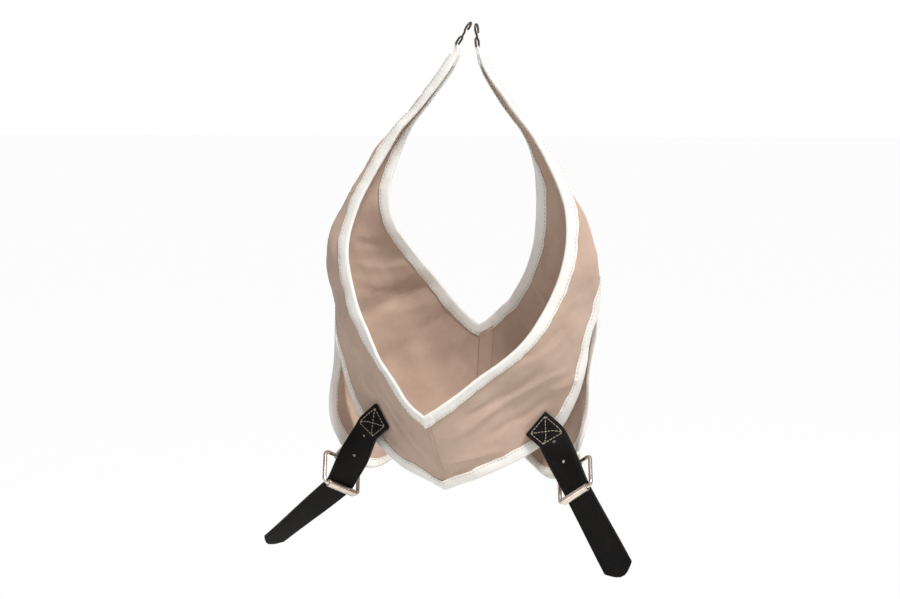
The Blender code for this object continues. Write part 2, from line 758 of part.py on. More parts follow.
def straps(side, nm, mat):
    """Strap sewn on the front band and led through the buckle, and its tail."""
    k = BK[side]
    p0, p1, q, tip, w0 = strap_line(side)
    hw = STRAP_W / 2
    bend = round_path([p0, p1, q], [12.0], [4])
    start, run = bend[-2], unit(q - bend[-2])
    pts = [p0] + line(p0, bend[1], 1) + bend[1:-1]
    rows = []
    for g in HOLES[side]:
        lo, hi = start + run * (g - 2.6), start + run * (g + 2.6)
        if g > 6:
            pts += line(pts[-1], lo, 1)
        if g > 2.6:
            pts.append(lo)
        rows.append(len(pts) - 1)
        pts.append(hi)
    out = unit(tip - q)
    pts += line(pts[-1], q - run * 5.0, 2) + [q - run * 5.0]
    turn = round_path([q - run * 5.0, q, q + out * 5.0], [20.0], [3])
    pts += turn[1:-1] + [q + out * (PAST_ROLLER - 0.15)]
    d_q = float(np.linalg.norm(p1 - p0) + np.linalg.norm(q - p1))
    d_1 = float(np.linalg.norm(p1 - p0))
    d_t = d_q + float(np.linalg.norm(tip - q))
    wt = np.array(TIP_W[side])
    keys = [(0.0, w0), (d_1, w0), (d_q, k.e), (d_t, wt)]
    wd = blend_dirs(pts, keys)
    strip("strap_" + nm, pts, wd, [hw] * len(pts), STRAP_T, mat,
          cols=(-1, -2.9, 2.9, 1), rounds=[(r, HOLE_D / 2) for r in rows])
    cut = q + out * (PAST_ROLLER + 0.15)
    L = float(np.linalg.norm(tip - cut))
    fr = [0.0, 0.15, 0.3, 0.45, 0.6, 0.75, 1 - POINT_L / L, 1 - 0.4 * POINT_L / L, 1.0]
    pts = [lerp(cut, tip, f) for f in fr]
    keys = [(-PAST_ROLLER, k.e), (L, wt)]
    wd = blend_dirs(pts, keys)
    half = [hw] * (len(pts) - 2) + [hw * 0.62, hw * 0.16]
    strip("strap_tail_" + nm, pts, wd, half, STRAP_T, mat, origin=q + out * PAST_ROLLER)


# Webbing tab: direction from the bar to the lobe edge in (h, n), leg length.
TAB_AIM = {-1: (-0.37, 0.93), 1: (-1.0, 0.0)}
TAB_REACH = {-1: 5.3, 1: 5.8}
TAB_SKEW = 0.25         # slope of the leg ends, following the lobe edge


def tab(name, side, mat):
    """Webbing folded round the tab bar, its legs ending at the lobe edge."""
    k = BK[side]
    d = unit(k.h * TAB_AIM[side][0] + k.n * TAB_AIM[side][1])
    out = np.cross(k.e, d)
    rr = BUCKLE_WIRE / 2 + 0.35 + TAB_T / 2
    arc = []
    for g in range(0, 181, 20):
        an = math.radians(g)
        arc.append(k.bar + rr * (math.cos(an) * out - math.sin(an) * d))
    leg, mid = TAB_REACH[side], 4.1
    pts = [k.bar + d * leg + out * rr, k.bar + d * mid + out * rr] + arc \
        + [k.bar + d * mid - out * rr, k.bar + d * leg - out * rr]
    end = k.e + d * TAB_SKEW
    wd = [end] + [k.e] * (len(arc) + 2) + [end]
    strip(name, pts, wd, [TAB_W / 2] * len(pts), TAB_T, mat,
          cols=(-1, -2.1, 2.1, 1), slots=tuple(range(1, 2 + len(arc))))


canvas = material("canvas", CANVAS, 0.9)
tape = material("tape", TAPE, 0.85)
leather = material("leather", LEATHER, 0.45)
nickel = material("nickel", NICKEL, 0.3, 1.0)
steel = material("steel", STEEL, 0.4, 1.0)

for side, nm in ((-1, "left"), (1, "right")):
    arm("arm_" + nm, side, canvas)
    panel("front_panel_" + nm, side, 0, ARM_END, len(FT) - 1, 3, canvas)
    panel("rear_panel_" + nm, side, 1, ARM_END, len(RT) - 1, 4, canvas)
binding("mouth_binding_front", 0, False, ARM_TOP, tape)
binding("mouth_binding_rear", 1, False, ARM_TOP, tape)
binding("lower_binding_front", 0, True, JOIN + 0.3, tape)
binding("lower_binding_rear", 1, True, JOIN + 0.3, tape)
for side, nm in ((-1, "left"), (1, "right")):
    hook("hook_" + nm, side, steel)
    hook_loop("hook_loop_" + nm, side, tape)
    buckle_frame("buckle_frame_" + nm, side, nickel)
    kb = BK[side]
    annulus("buckle_roller_" + nm, kb.roll, kb.e, kb.n, ROLLER_D / 2,
            BUCKLE_WIRE / 2 + 0.12, ROLLER_L, 24, nickel, origin=kb.roll)
    prong("buckle_prong_" + nm, side, nickel)
    straps(side, nm, leather)
    tab("buckle_tab_" + nm, side, tape)
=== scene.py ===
import bpy
import bmesh
import math
import random
import numpy as np
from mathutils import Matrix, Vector


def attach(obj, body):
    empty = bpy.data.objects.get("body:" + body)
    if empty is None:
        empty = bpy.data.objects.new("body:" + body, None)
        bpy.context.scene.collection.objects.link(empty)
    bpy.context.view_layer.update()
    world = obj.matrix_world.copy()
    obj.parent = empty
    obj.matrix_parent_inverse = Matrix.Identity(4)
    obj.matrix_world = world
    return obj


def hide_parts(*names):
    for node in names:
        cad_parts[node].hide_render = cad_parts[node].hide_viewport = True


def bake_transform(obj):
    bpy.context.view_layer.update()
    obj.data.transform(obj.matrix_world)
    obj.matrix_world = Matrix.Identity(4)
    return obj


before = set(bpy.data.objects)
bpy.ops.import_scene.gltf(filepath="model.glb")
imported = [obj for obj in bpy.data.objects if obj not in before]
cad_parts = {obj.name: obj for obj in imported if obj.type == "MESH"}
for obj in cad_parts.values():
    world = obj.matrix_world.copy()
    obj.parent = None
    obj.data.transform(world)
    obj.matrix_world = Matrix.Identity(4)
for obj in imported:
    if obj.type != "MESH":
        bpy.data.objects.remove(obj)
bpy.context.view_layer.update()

# All shape figures are in millimetres in the guide frame of the pattern;
# HANG is the hang point there and becomes the origin.
MM = 0.001
HANG = np.array([3.0, -13.0, 0.5])
CANVAS_T = 1.5
TAPE_T = 0.9
TAPE_W = 9.9
EDGE_IN = 1.2
STRAP_W = 26.0
STRAP_T = 2.6

FT = [(8, -19, -24, 0), (17, -23, -42, 0), (36, -26, -67, 0), (56, -30, -90, 0),
      (74, -34, -120, 0), (89, -41, -150, 0), (95.5, -51, -178, -1),
      (94, -59, -202, -1), (88, -66, -224, -1), (79, -73.5, -244, -1),
      (68, -83, -262, -1), (55, -94, -277.5, -2), (41, -105, -291, -4),
      (26, -114, -304, -6), (12, -120.5, -315, -7), (0, -124, -323, -7)]
FO = [(13, -15, -24, -1), (24.2, -17.5, -42, -3.3), (41.9, -20, -67, -4.1),
      (60.8, -22, -90, -5.2), (83.0, -26, -120, -5.0), (101.2, -31, -150, -3.8),
      (114.5, -34, -180, -3), (119.5, -34, -208, -2), (118, -31, -238, 0),
      (113, -38, -262, 0), (109.5, -40.5, -288, 0), (102.5, -42, -315, 0),
      (89, -47, -342, 0), (68, -61, -360, 0), (38, -81, -375, 1),
      (0, -93, -389, 3)]
RT = [(7, -12, -24, -1), (14, -13.5, -42, -3), (31, -15, -67, -4),
      (49.5, -14, -90, -3.5), (61.7, -16, -120, -4), (66, -20, -148, -5),
      (63, -17.5, -172, -3.5), (55.5, -8, -192, -1), (46, 2, -210, 1),
      (39, 8.5, -221.5, 1), (32.5, 13, -231, 1), (26, 16, -240, 1),
      (20, 17.5, -246, 0), (14, 18, -252, 0), (9, 18, -256.5, 0),
      (4.5, 18, -260, 0), (0, 18, -262.5, 0)]
RO = FO[:9] + [(117.5, -32, -264, 0), (115, -42, -292, 0), (115, -52, -320, 0),
               (112, -56, -346, 0), (99, -53, -370, 0), (80, -45, -384, 0),
               (50, -28, -368, 0), (0, 1, -340, 0)]
FM = [(0, 0, 0)] * 9 + [(3, -3, 0), (2, -1, 0), (0, 2, 0), (-1, 7, 0),
                        (0, 7, 0), (0, 3, 0), (0, -3, -1)]
RM = [(0, 0, 0)] * 9 + [(4, 9, 0), (6, 12, 0), (8, 15, 0), (10, 18, 0),
                        (10, 18, -1), (8, 15, -3), (5, 10, -3), (0, 4, 0)]
JOIN = 8
ARM_TOP = 0.15
SEAM_T = 4.79

rng = random.Random(7)


# ------------------------------------------------------------ small helpers
def unit(v):
    v = np.asarray(v, float)
    return v / np.linalg.norm(v)


def cr(pts, t):
    """Uniform Catmull-Rom through pts at every parameter in t."""
    pts = np.asarray(pts, float)
    t = np.atleast_1d(np.asarray(t, float))
    n = len(pts) - 1
    t = np.clip(t, 0, n)
    i = np.minimum(t.astype(int), n - 1)
    f = (t - i)[:, None]
    q = np.vstack([2 * pts[0] - pts[1], pts, 2 * pts[-1] - pts[-2]])
    p0, p1, p2, p3 = q[i], q[i + 1], q[i + 2], q[i + 3]
    return 0.5 * ((2 * p1) + (p2 - p0) * f + (2 * p0 - 5 * p1 + 4 * p2 - p3) * f ** 2
                  + (3 * p1 - p0 - 3 * p2 + p3) * f ** 3)


def smooth01(x):
    x = np.clip(x, 0, 1)
    return x * x * (3 - 2 * x)


def new_object(name, verts, faces, mat, uvs=None, smooth=True, sharp=50):
    """Mesh object from guide-frame millimetres; uvs holds one (u, v) per vertex."""
    v = (np.asarray(verts, float) - HANG) * MM
    me = bpy.data.meshes.new(name)
    me.from_pydata([tuple(p) for p in v], [], [tuple(int(k) for k in f) for f in faces])
    if uvs is not None:
        lay = me.uv_layers.new(name="UVMap")
        idx = np.empty(len(me.loops), dtype=np.int32)
        me.loops.foreach_get("vertex_index", idx)
        lay.data.foreach_set("uv", np.asarray(uvs, np.float32)[idx].ravel())
    bm = bmesh.new()
    bm.from_mesh(me)
    bmesh.ops.recalc_face_normals(bm, faces=bm.faces[:])
    if bm.calc_volume(signed=True) < 0:
        bmesh.ops.reverse_faces(bm, faces=bm.faces[:])
    bm.to_mesh(me)
    bm.free()
    me.materials.append(mat)
    if smooth:
        me.shade_smooth()
        me.set_sharp_from_angle(angle=math.radians(sharp))
    ob = bpy.data.objects.new(name, me)
    bpy.context.scene.collection.objects.link(ob)
    return ob


def grid_faces(R, C, off=0, wrap=False):
    f = []
    for i in range(R - 1):
        for j in range(C if wrap else C - 1):
            k = (j + 1) % C
            f.append((off + i * C + j, off + i * C + k, off + (i + 1) * C + k,
                      off + (i + 1) * C + j))
    return f


def tube_mesh(points, radius, sides=16, closed=False, up=None):
    """Verts, faces and uvs of a round tube; radius may be one number per point."""
    pts = np.asarray(points, float)
    n = len(pts)
    rad = np.full(n, radius) if np.isscalar(radius) else np.asarray(radius, float)
    verts, uvs, d = [], [], 0.0
    prev = unit(up) if up is not None else None
    for i in range(n):
        if closed:
            t = unit(pts[(i + 1) % n] - pts[i - 1])
        else:
            t = unit(pts[min(i + 1, n - 1)] - pts[max(i - 1, 0)])
        if prev is None:
            prev = np.cross(t, [0.0, 0.0, 1.0])
            if np.linalg.norm(prev) < 0.2:
                prev = np.cross(t, [0.0, 1.0, 0.0])
        a = unit(prev - (prev @ t) * t)
        b = np.cross(t, a)
        prev = a
        if i:
            d += float(np.linalg.norm(pts[i] - pts[i - 1]))
        for j in range(sides):
            g = 2 * math.pi * j / sides
            verts.append(pts[i] + rad[i] * (math.cos(g) * a + math.sin(g) * b))
            uvs.append((d, j / sides))
    faces = grid_faces(n, sides, wrap=True)
    if closed:
        for j in range(sides):
            k = (j + 1) % sides
            faces.append(((n - 1) * sides + j, (n - 1) * sides + k, k, j))
    else:
        faces.append(tuple(range(sides))[::-1])
        faces.append(tuple((n - 1) * sides + j for j in range(sides)))
    return verts, faces, uvs


def rounded(corners, radii, steps):
    """Polyline with its inner corners rounded."""
    out = [np.asarray(corners[0], float)]
    for i in range(1, len(corners) - 1):
        p, a, b = (np.asarray(corners[k], float) for k in (i, i - 1, i + 1))
        u, v = unit(a - p), unit(b - p)
        ang = math.acos(max(-1, min(1, float(u @ v))))
        r, n = radii[i - 1], steps[i - 1]
        d = r / math.tan(ang / 2)
        c = p + unit(u + v) * r / math.sin(ang / 2)
        s0, s1 = p + u * d - c, p + v * d - c
        for k in range(n + 1):
            w = math.pi - ang
            out.append(c + (math.sin((1 - k / n) * w) * s0 + math.sin(k / n * w) * s1)
                       / math.sin(w))
    out.append(np.asarray(corners[-1], float))
    return out


def resample(pts, step):
    """Evenly spaced points along a polyline."""
    pts = np.asarray(pts, float)
    d = np.concatenate([[0], np.cumsum(np.linalg.norm(np.diff(pts, axis=0), axis=1))])
    n = max(2, int(round(d[-1] / step)) + 1)
    x = np.linspace(0, d[-1], n)
    return np.stack([np.interp(x, d, pts[:, k]) for k in range(3)], axis=1), x


class Parts:
    """Collects many small closed bodies into one mesh."""

    def __init__(self):
        self.v, self.f, self.uv = [], [], []

    def add(self, verts, faces, uvs=None):
        o = len(self.v)
        self.v += [np.asarray(p, float) for p in verts]
        self.f += [tuple(k + o for k in f) for f in faces]
        self.uv += list(uvs) if uvs is not None else [(0.0, 0.0)] * len(verts)

    def stitch(self, p, q, up, r, lift, sides=6):
        """One stitch from p to q: a short arched thread that dips at its ends."""
        p, q, up = np.asarray(p, float), np.asarray(q, float), unit(up)
        pts, rad = [], []
        for x, hgt, rr in ((0.0, -1.0, 0.55), (0.1, 0.0, 0.9), (0.32, 0.75, 1.0), (0.5, 1.0, 1.0),
                           (0.68, 0.75, 1.0), (0.9, 0.0, 0.9), (1.0, -1.0, 0.55)):
            pts.append(p + (q - p) * x + up * lift * hgt)
            rad.append(r * rr)
        v, f, uv = tube_mesh(pts, np.array(rad), sides=sides, up=up)
        self.add(v, f, uv)

    def build(self, name, mat):
        return new_object(name, self.v, self.f, mat, self.uv, sharp=80)


# --------------------------------------------------------------- band sheets
# Folds of the hanging canvas as ridges: points (x, z), width, height.
FOLDS_FRONT = [
    ([(10, -348), (25, -334), (41, -321), (77, -299), (103, -287)], 3.0, 1.7),
    ([(16, -329), (31, -320), (46, -312), (68, -297), (84, -284)], 2.8, -1.4),
    ([(33, -346), (52, -334), (67, -326), (90, -306)], 3.2, -1.5),
    ([(7, -366), (28, -360), (48, -356)], 2.6, 1.5),
    ([(9, -373), (30, -368), (50, -363)], 2.6, -1.2),
    ([(82, -309), (94, -302), (104, -296)], 2.6, 1.1),
    ([(64, -280), (84, -267), (100, -249)], 3.4, -1.0),
    ([(56, -289), (78, -275), (98, -259)], 3.2, 1.0),
    ([(70, -262), (92, -242), (112, -226)], 4.0, 0.9),
    ([(-76, -284), (-62, -308), (-43, -327), (-17, -349), (-3, -368)], 2.8, 1.8),
    ([(-83, -281), (-69, -308), (-49, -330), (-24, -352), (-8, -373)], 2.8, -1.6),
    ([(-91, -272), (-84, -292), (-76, -310), (-55, -333)], 3.2, 1.6),
    ([(-97, -245), (-92, -266), (-84, -282)], 3.4, 1.1),
    ([(-66, -342), (-50, -353), (-31, -367)], 3.0, 1.2),
    ([(-99, -268), (-92, -300), (-80, -324)], 3.2, -1.4),
    ([(-96, -186), (-98, -226), (-86, -262)], 4.5, 0.9),
    ([(98, -190), (104, -216), (100, -240)], 5.0, 0.9),
    ([(46, -60), (72, -96), (92, -140)], 4.0, 0.6),
    ([(-50, -62), (-76, -98), (-98, -142)], 4.0, 0.6),
]
FOLDS_REAR = [
    ([(-105, -187), (-89, -191), (-68, -189)], 4.0, 0.9),
    ([(-107, -207), (-84, -212), (-55, -207)], 4.2, -0.9),
    ([(-106, -227), (-82, -234), (-49, -230)], 4.4, 0.9),
    ([(-102, -244), (-76, -252), (-36, -242)], 4.6, -0.7),
    ([(-91, -264), (-69, -270), (-25, -256)], 5.4, 0.6),
    ([(-76, -288), (-50, -289), (-9, -270)], 6.0, -0.6),
    ([(-66, -307), (-42, -302), (-8, -286)], 6.5, 0.7),
    ([(-70, -350), (-40, -345), (-10, -325)], 5.5, -1.1),
    ([(78, -177), (69, -196), (65, -216)], 3.0, 1.6),
    ([(50, -215), (59, -231), (71, -249)], 3.0, -1.7),
    ([(42, -232), (38, -249), (40, -266)], 3.2, 1.5),
    ([(27, -240), (24, -260), (31, -280)], 3.2, -1.4),
    ([(12, -257), (10, -280)], 3.0, 0.9),
    ([(86, -192), (79, -219), (73, -238)], 3.4, -1.5),
    ([(104, -230), (98, -270), (100, -310)], 4.5, 1.0),
]
PATCHES = [(-66.3, -338.4), (78.8, -340.1)]


def ridge(x, z, pts, w, h):
    """Height of one fold over points (x, z), fading towards its ends."""
    p = np.array(cr([(a, b) for a, b in pts], np.linspace(0, len(pts) - 1, 28)))
    seg = p[1:] - p[:-1]
    L = np.linalg.norm(seg, axis=1)
    best = np.full(x.shape, 1e9)
    pos = np.zeros(x.shape)
    tot, run = L.sum(), 0.0
    for k in range(len(seg)):
        ux, uz = seg[k] / L[k]
        a = np.clip((x - p[k, 0]) * ux + (z - p[k, 1]) * uz, 0, L[k])
        d = np.hypot(x - p[k, 0] - a * ux, z - p[k, 1] - a * uz)
        m = d < best
        best = np.where(m, d, best)
        pos = np.where(m, (run + a) / tot, pos)
        run += L[k]
    fade = smooth01(np.minimum(pos, 1 - pos) / 0.22 + 0.12)
    return h * np.exp(-(best / w) ** 2) * fade


_w = random.Random(3)
WAVES = [(_w.uniform(-1, 1), _w.uniform(-1, 1), _w.uniform(-1, 1), _w.uniform(0, 6.28),
          lam, amp) for lam, amp in ((70, 0.5), (48, 0.42), (37, 0.36), (29, 0.28), (22, 0.22),
                                     (17, 0.15), (12, 0.10), (9, 0.07), (7, 0.05))]


def cloth_lift(P, kind):
    """Displacement along the normal, in millimetres, at guide points P."""
    x, y, z = P[..., 0], P[..., 1], P[..., 2]
    out = np.zeros(x.shape)
    for pts, w, h in (FOLDS_FRONT if kind == 0 else FOLDS_REAR):
        out += ridge(x, z, pts, w, h)
    for a, b, c, ph, lam, amp in WAVES:
        k = 2 * math.pi / lam / math.sqrt(a * a + b * b + c * c)
        out += amp * np.sin(k * (a * x + b * y + c * z) + ph + kind * 2.1)
    top = smooth01((-z - 26) / 60.0)         # the folded arm tops stay flat
    out = out * (0.15 + 0.85 * top)
    if kind == 0:                            # the sewn leather holds the cloth flat
        for px, pz in PATCHES:
            near = smooth01((np.hypot(x - px, z - pz) - 19.0) / 9.0)
            out = np.where(out > 0, out * near, out)
    return out


class Sheet:
    """One half band as a dense table: a parabola section between two edges."""

    def __init__(self, side, kind):
        inner, outer, mid = ((FT, FO, FM), (RT, RO, RM))[kind]
        other = RT[:len(FT)] if kind == 0 else FT + [FT[-1]]
        self.side, self.kind, self.last = side, kind, len(inner) - 1

        def sided(rows):
            return np.array([(side * r[0] + r[3], r[1], r[2]) for r in rows], float)
        self.nt, self.ns = self.last * 26 + 1, 81
        self.t = np.linspace(0, self.last, self.nt)
        self.s = np.linspace(0, 1, self.ns)
        a, b, c = (cr(sided(r), self.t) for r in (inner, outer, other))
        m = cr(np.array([(side * q[0], q[1], q[2]) for q in mid], float), self.t)
        w = np.where(self.t <= 6.5, 1.0, np.maximum(0.0, 1.0 - (self.t - 6.5) / 3.0))[:, None]
        tau = c - a
        tau[:, 2] *= 0.3
        tau /= np.maximum(1e-9, np.linalg.norm(tau, axis=1))[:, None]
        span = np.linalg.norm(b - a, axis=1)[:, None]
        m = np.where(w > 0, m + 0.85 * w * ((b - a) - span * tau) / 4.0, m)
        s = self.s[None, :, None]
        P = a[:, None] + (b - a)[:, None] * s + m[:, None] * (4 * s * (1 - s))
        dt, ds = np.gradient(P, self.t, axis=0), np.gradient(P, self.s, axis=1)
        n = np.cross(ds, dt)
        n /= np.linalg.norm(n, axis=2)[..., None]
        i0 = int(round(9.5 * 26))
        ref = P[i0, 40]
        sign = 1.0 if n[i0, 40] @ (ref - np.array([0.0, -45.0, ref[2]])) > 0 else -1.0
        n *= sign
        n[-1, :, 0] = 0.0
        n[-1] /= np.maximum(0.35, (n[-1] ** 2).sum(axis=1))[:, None]
        self.P, self.N = P, n
        self.D = cloth_lift(P, kind)
        U = np.linalg.norm(np.diff(P, axis=1), axis=2)
        self.U = np.concatenate([np.zeros((self.nt, 1)), np.cumsum(U, axis=1)], axis=1)
        self.L = self.U[:, -1]
        mid_line = P[:, self.ns // 2]
        self.V = np.concatenate([[0], np.cumsum(np.linalg.norm(np.diff(mid_line, axis=0), axis=1))])
        self.edge = {}
        for key, j in (("in", 0), ("out", self.ns - 1)):
            q = P[:, j]
            self.edge[key] = np.concatenate([[0], np.cumsum(np.linalg.norm(np.diff(q, axis=0), axis=1))])

    def length(self, t):
        return float(np.interp(t, self.t, self.L))

    def row(self, t, us):
        """Points, normals and lifts at arc lengths us from the inner edge, at t."""
        x = min(max(t / self.last * (self.nt - 1), 0), self.nt - 1)
        i = min(int(x), self.nt - 2)
        f = x - i
        U = self.U[i] * (1 - f) + self.U[i + 1] * f
        s = np.interp(us, U, self.s) * (self.ns - 1)
        j = np.minimum(s.astype(int), self.ns - 2)
        g = (s - j)[:, None]

        def pick(A):
            r0 = A[i][j] * (1 - g) + A[i][j + 1] * g
            r1 = A[i + 1][j] * (1 - g) + A[i + 1][j + 1] * g
            return r0 * (1 - f) + r1 * f
        P, N = pick(self.P), pick(self.N)
        if self.t[-1] - t > 1e-6:
            N = N / np.linalg.norm(N, axis=1)[:, None]
        D = pick(self.D[..., None])[:, 0]
        return P, N, D

    def t_steps(self, lo, hi, step, key):
        """Parameters spaced evenly along one edge."""
        e = self.edge[key]
        a, b = np.interp([lo, hi], self.t, e)
        n = max(2, int(round(abs(b - a) / step)) + 1)
        return np.interp(np.linspace(a, b, n), e, self.t)


SHEETS = {(sd, k): Sheet(sd, k) for sd in (-1, 1) for k in (0, 1)}


def tape_width(sh, t):
    return min(TAPE_W, 0.42 * sh.length(t) + 0.6)


# ----------------------------------------------------------------- materials
class Mat:
    """Short-hand for node materials."""

    def __init__(self, name):
        self.m = bpy.data.materials.new(name)
        self.m.use_nodes = True
        self.nt = self.m.node_tree
        self.b = self.nt.nodes["Principled BSDF"]

    def node(self, kind, **kw):
        n = self.nt.nodes.new(kind)
        for k, v in kw.items():
            setattr(n, k, v)
        return n

    def link(self, a, b):
        self.nt.links.new(a, b)

    def math(self, op, a, b=None):
        n = self.node("ShaderNodeMath", operation=op)
        for k, v in enumerate((a, b)):
            if v is None:
                continue
            if isinstance(v, (int, float)):
                n.inputs[k].default_value = v
            else:
                self.link(v, n.inputs[k])
        return n.outputs[0]

    def noise(self, vec, scale, detail=3.0, rough=0.6, stretch=None):
        if stretch is not None:
            mp = self.node("ShaderNodeMapping")
            mp.inputs["Scale"].default_value = stretch
            self.link(vec, mp.inputs["Vector"])
            vec = mp.outputs[0]
        n = self.node("ShaderNodeTexNoise")
        n.inputs["Scale"].default_value = scale
        n.inputs["Detail"].default_value = detail
        n.inputs["Roughness"].default_value = rough
        self.link(vec, n.inputs["Vector"])
        return n.outputs["Fac"]

    def ramp(self, fac, stops):
        n = self.node("ShaderNodeValToRGB")
        el = n.color_ramp.elements
        while len(el) < len(stops):
            el.new(0.5)
        for e, (p, c) in zip(el, stops):
            e.position = p
            e.color = (*c, 1) if len(c) == 3 else c
        self.link(fac, n.inputs["Fac"])
        return n.outputs["Color"]

    def grey(self, fac, lo, hi, a=0.0, b=1.0):
        n = self.node("ShaderNodeMapRange")
        n.inputs["From Min"].default_value = lo
        n.inputs["From Max"].default_value = hi
        n.inputs["To Min"].default_value = a
        n.inputs["To Max"].default_value = b
        self.link(fac, n.inputs["Value"])
        return n.outputs[0]

    def mix(self, fac, a, b, mode='MIX'):
        n = self.node("ShaderNodeMix", data_type='RGBA', blend_type=mode)
        for s, v in ((n.inputs[0], fac), (n.inputs[6], a), (n.inputs[7], b)):
            if isinstance(v, (int, float)):
                s.default_value = v
            elif isinstance(v, tuple):
                s.default_value = (*v, 1)
            else:
                self.link(v, s)
        return n.outputs[2]

    def bump(self, height, strength, dist, prev=None):
        n = self.node("ShaderNodeBump")
        n.inputs["Strength"].default_value = strength
        n.inputs["Distance"].default_value = dist
        self.link(height, n.inputs["Height"])
        if prev is not None:
            self.link(prev, n.inputs["Normal"])
        return n.outputs[0]


def uv_mm(m):
    """UV coordinates; one unit is one millimetre."""
    n = m.node("ShaderNodeUVMap", uv_map="UVMap")
    return n.outputs[0]


def threads(m, uv, period, axis):
    """0 to 1 waves across one thread direction."""
    sep = m.node("ShaderNodeSeparateXYZ")
    m.link(uv, sep.inputs[0])
    c = sep.outputs[axis]
    return m.math('ADD', m.math('MULTIPLY', m.math('SINE', m.math('MULTIPLY', c, 2 * math.pi / period)), 0.5), 0.5)


def canvas_material(name, base, dark):
    m = Mat(name)
    uv = uv_mm(m)
    big = m.noise(uv, 0.035, 4.0, 0.6)
    slub = m.noise(uv, 1.0, 3.0, 0.7, stretch=(0.18, 1.1, 1.0))
    slub2 = m.noise(uv, 1.0, 3.0, 0.7, stretch=(1.3, 0.16, 1.0))
    fine = m.noise(uv, 2.2, 2.0, 0.6)
    rib = threads(m, uv, 1.25, 1)
    rib2 = threads(m, uv, 0.9, 0)
    weave = m.math('ADD', m.math('MULTIPLY', rib, 0.62), m.math('MULTIPLY', rib2, 0.38))
    col = m.ramp(m.grey(big, 0.3, 0.7), [(0.0, dark), (1.0, base)])
    col = m.mix(m.grey(slub, 0.35, 0.75, 0.0, 0.46), col, tuple(c * 0.80 for c in base))
    col = m.mix(m.grey(slub2, 0.45, 0.8, 0.0, 0.36), col, tuple(min(1, c * 1.16) for c in base))
    col = m.mix(m.math('MULTIPLY', m.math('SUBTRACT', 1.0, weave), 0.34), col, tuple(c * 0.55 for c in base))
    m.link(col, m.b.inputs["Base Color"])
    m.link(m.grey(fine, 0.2, 0.8, 0.82, 0.98), m.b.inputs["Roughness"])
    nb = m.bump(weave, 0.55, 0.00028)
    nb = m.bump(slub, 0.5, 0.0004, nb)
    nb = m.bump(fine, 0.25, 0.0002, nb)
    m.link(nb, m.b.inputs["Normal"])
    m.b.inputs["Sheen Weight"].default_value = 0.25
    m.b.inputs["Sheen Roughness"].default_value = 0.6
    m.b.inputs["Specular IOR Level"].default_value = 0.25
    return m.m


def tape_material(name, base, dark):
    m = Mat(name)
    uv = uv_mm(m)
    big = m.noise(uv, 0.09, 4.0, 0.6)
    fine = m.noise(uv, 1.7, 3.0, 0.65)
    sep = m.node("ShaderNodeSeparateXYZ")
    m.link(uv, sep.inputs[0])
    # herringbone: threads slant one way, then the other, across the tape
    fold = m.math('ABSOLUTE', m.math('SUBTRACT', m.math('FRACT', m.math('DIVIDE', sep.outputs[1], 3.2)), 0.5))
    ph = m.math('ADD', sep.outputs[0], m.math('MULTIPLY', fold, 3.2))
    twill = m.math('ADD', m.math('MULTIPLY', m.math('SINE', m.math('MULTIPLY', ph, 2 * math.pi / 1.05)), 0.5), 0.5)
    col = m.ramp(m.grey(big, 0.3, 0.7), [(0.0, dark), (1.0, base)])
    col = m.mix(m.math('MULTIPLY', m.math('SUBTRACT', 1.0, twill), 0.13), col, tuple(c * 0.70 for c in base))
    col = m.mix(m.grey(fine, 0.5, 0.85, 0.0, 0.30), col, tuple(c * 0.86 for c in base))
    m.link(col, m.b.inputs["Base Color"])
    m.link(m.grey(fine, 0.2, 0.8, 0.80, 0.96), m.b.inputs["Roughness"])
    nb = m.bump(twill, 0.26, 0.00018)
    nb = m.bump(fine, 0.35, 0.0003, nb)
    m.link(nb, m.b.inputs["Normal"])
    m.b.inputs["Sheen Weight"].default_value = 0.2
    m.b.inputs["Specular IOR Level"].default_value = 0.25
    return m.m


def leather_material(name):
    m = Mat(name)
    uv = uv_mm(m)
    big = m.noise(uv, 0.07, 4.0, 0.62)
    mid = m.noise(uv, 0.5, 4.0, 0.65)
    cells = m.node("ShaderNodeTexVoronoi", feature='DISTANCE_TO_EDGE')
    cells.inputs["Scale"].default_value = 0.95
    m.link(uv, cells.inputs["Vector"])
    pores = m.noise(uv, 3.2, 2.0, 0.6)
    sep = m.node("ShaderNodeSeparateXYZ")
    m.link(uv, sep.inputs[0])
    off = m.math('ABSOLUTE', sep.outputs[1])
    groove = m.math('SUBTRACT', 1.0, m.grey(m.math('ABSOLUTE', m.math('SUBTRACT', off, STRAP_W / 2 - 2.1)), 0.0, 0.45))
    edge = m.grey(off, STRAP_W / 2 - 0.9, STRAP_W / 2 - 0.1)
    col = m.ramp(m.grey(big, 0.3, 0.75), [(0.0, (0.0025, 0.0021, 0.002)), (0.6, (0.0045, 0.0038, 0.0037)), (1.0, (0.010, 0.0088, 0.0084))])
    worn = m.math('MULTIPLY', m.grey(mid, 0.55, 0.78), 0.35)
    col = m.mix(worn, col, (0.022, 0.019, 0.0175))
    col = m.mix(m.math('MULTIPLY', edge, m.grey(mid, 0.3, 0.7, 0.15, 0.65)), col, (0.05, 0.040, 0.034))
    m.link(col, m.b.inputs["Base Color"])
    m.link(m.grey(mid, 0.2, 0.8, 0.42, 0.66), m.b.inputs["Roughness"])
    nb = m.bump(m.grey(cells.outputs["Distance"], 0.0, 0.25), 0.30, 0.00018)
    nb = m.bump(pores, 0.22, 0.0002, nb)
    nb = m.bump(m.math('SUBTRACT', 1.0, groove), 0.8, 0.0004, nb)
    m.link(nb, m.b.inputs["Normal"])
    m.b.inputs["Specular IOR Level"].default_value = 0.13
    return m.m


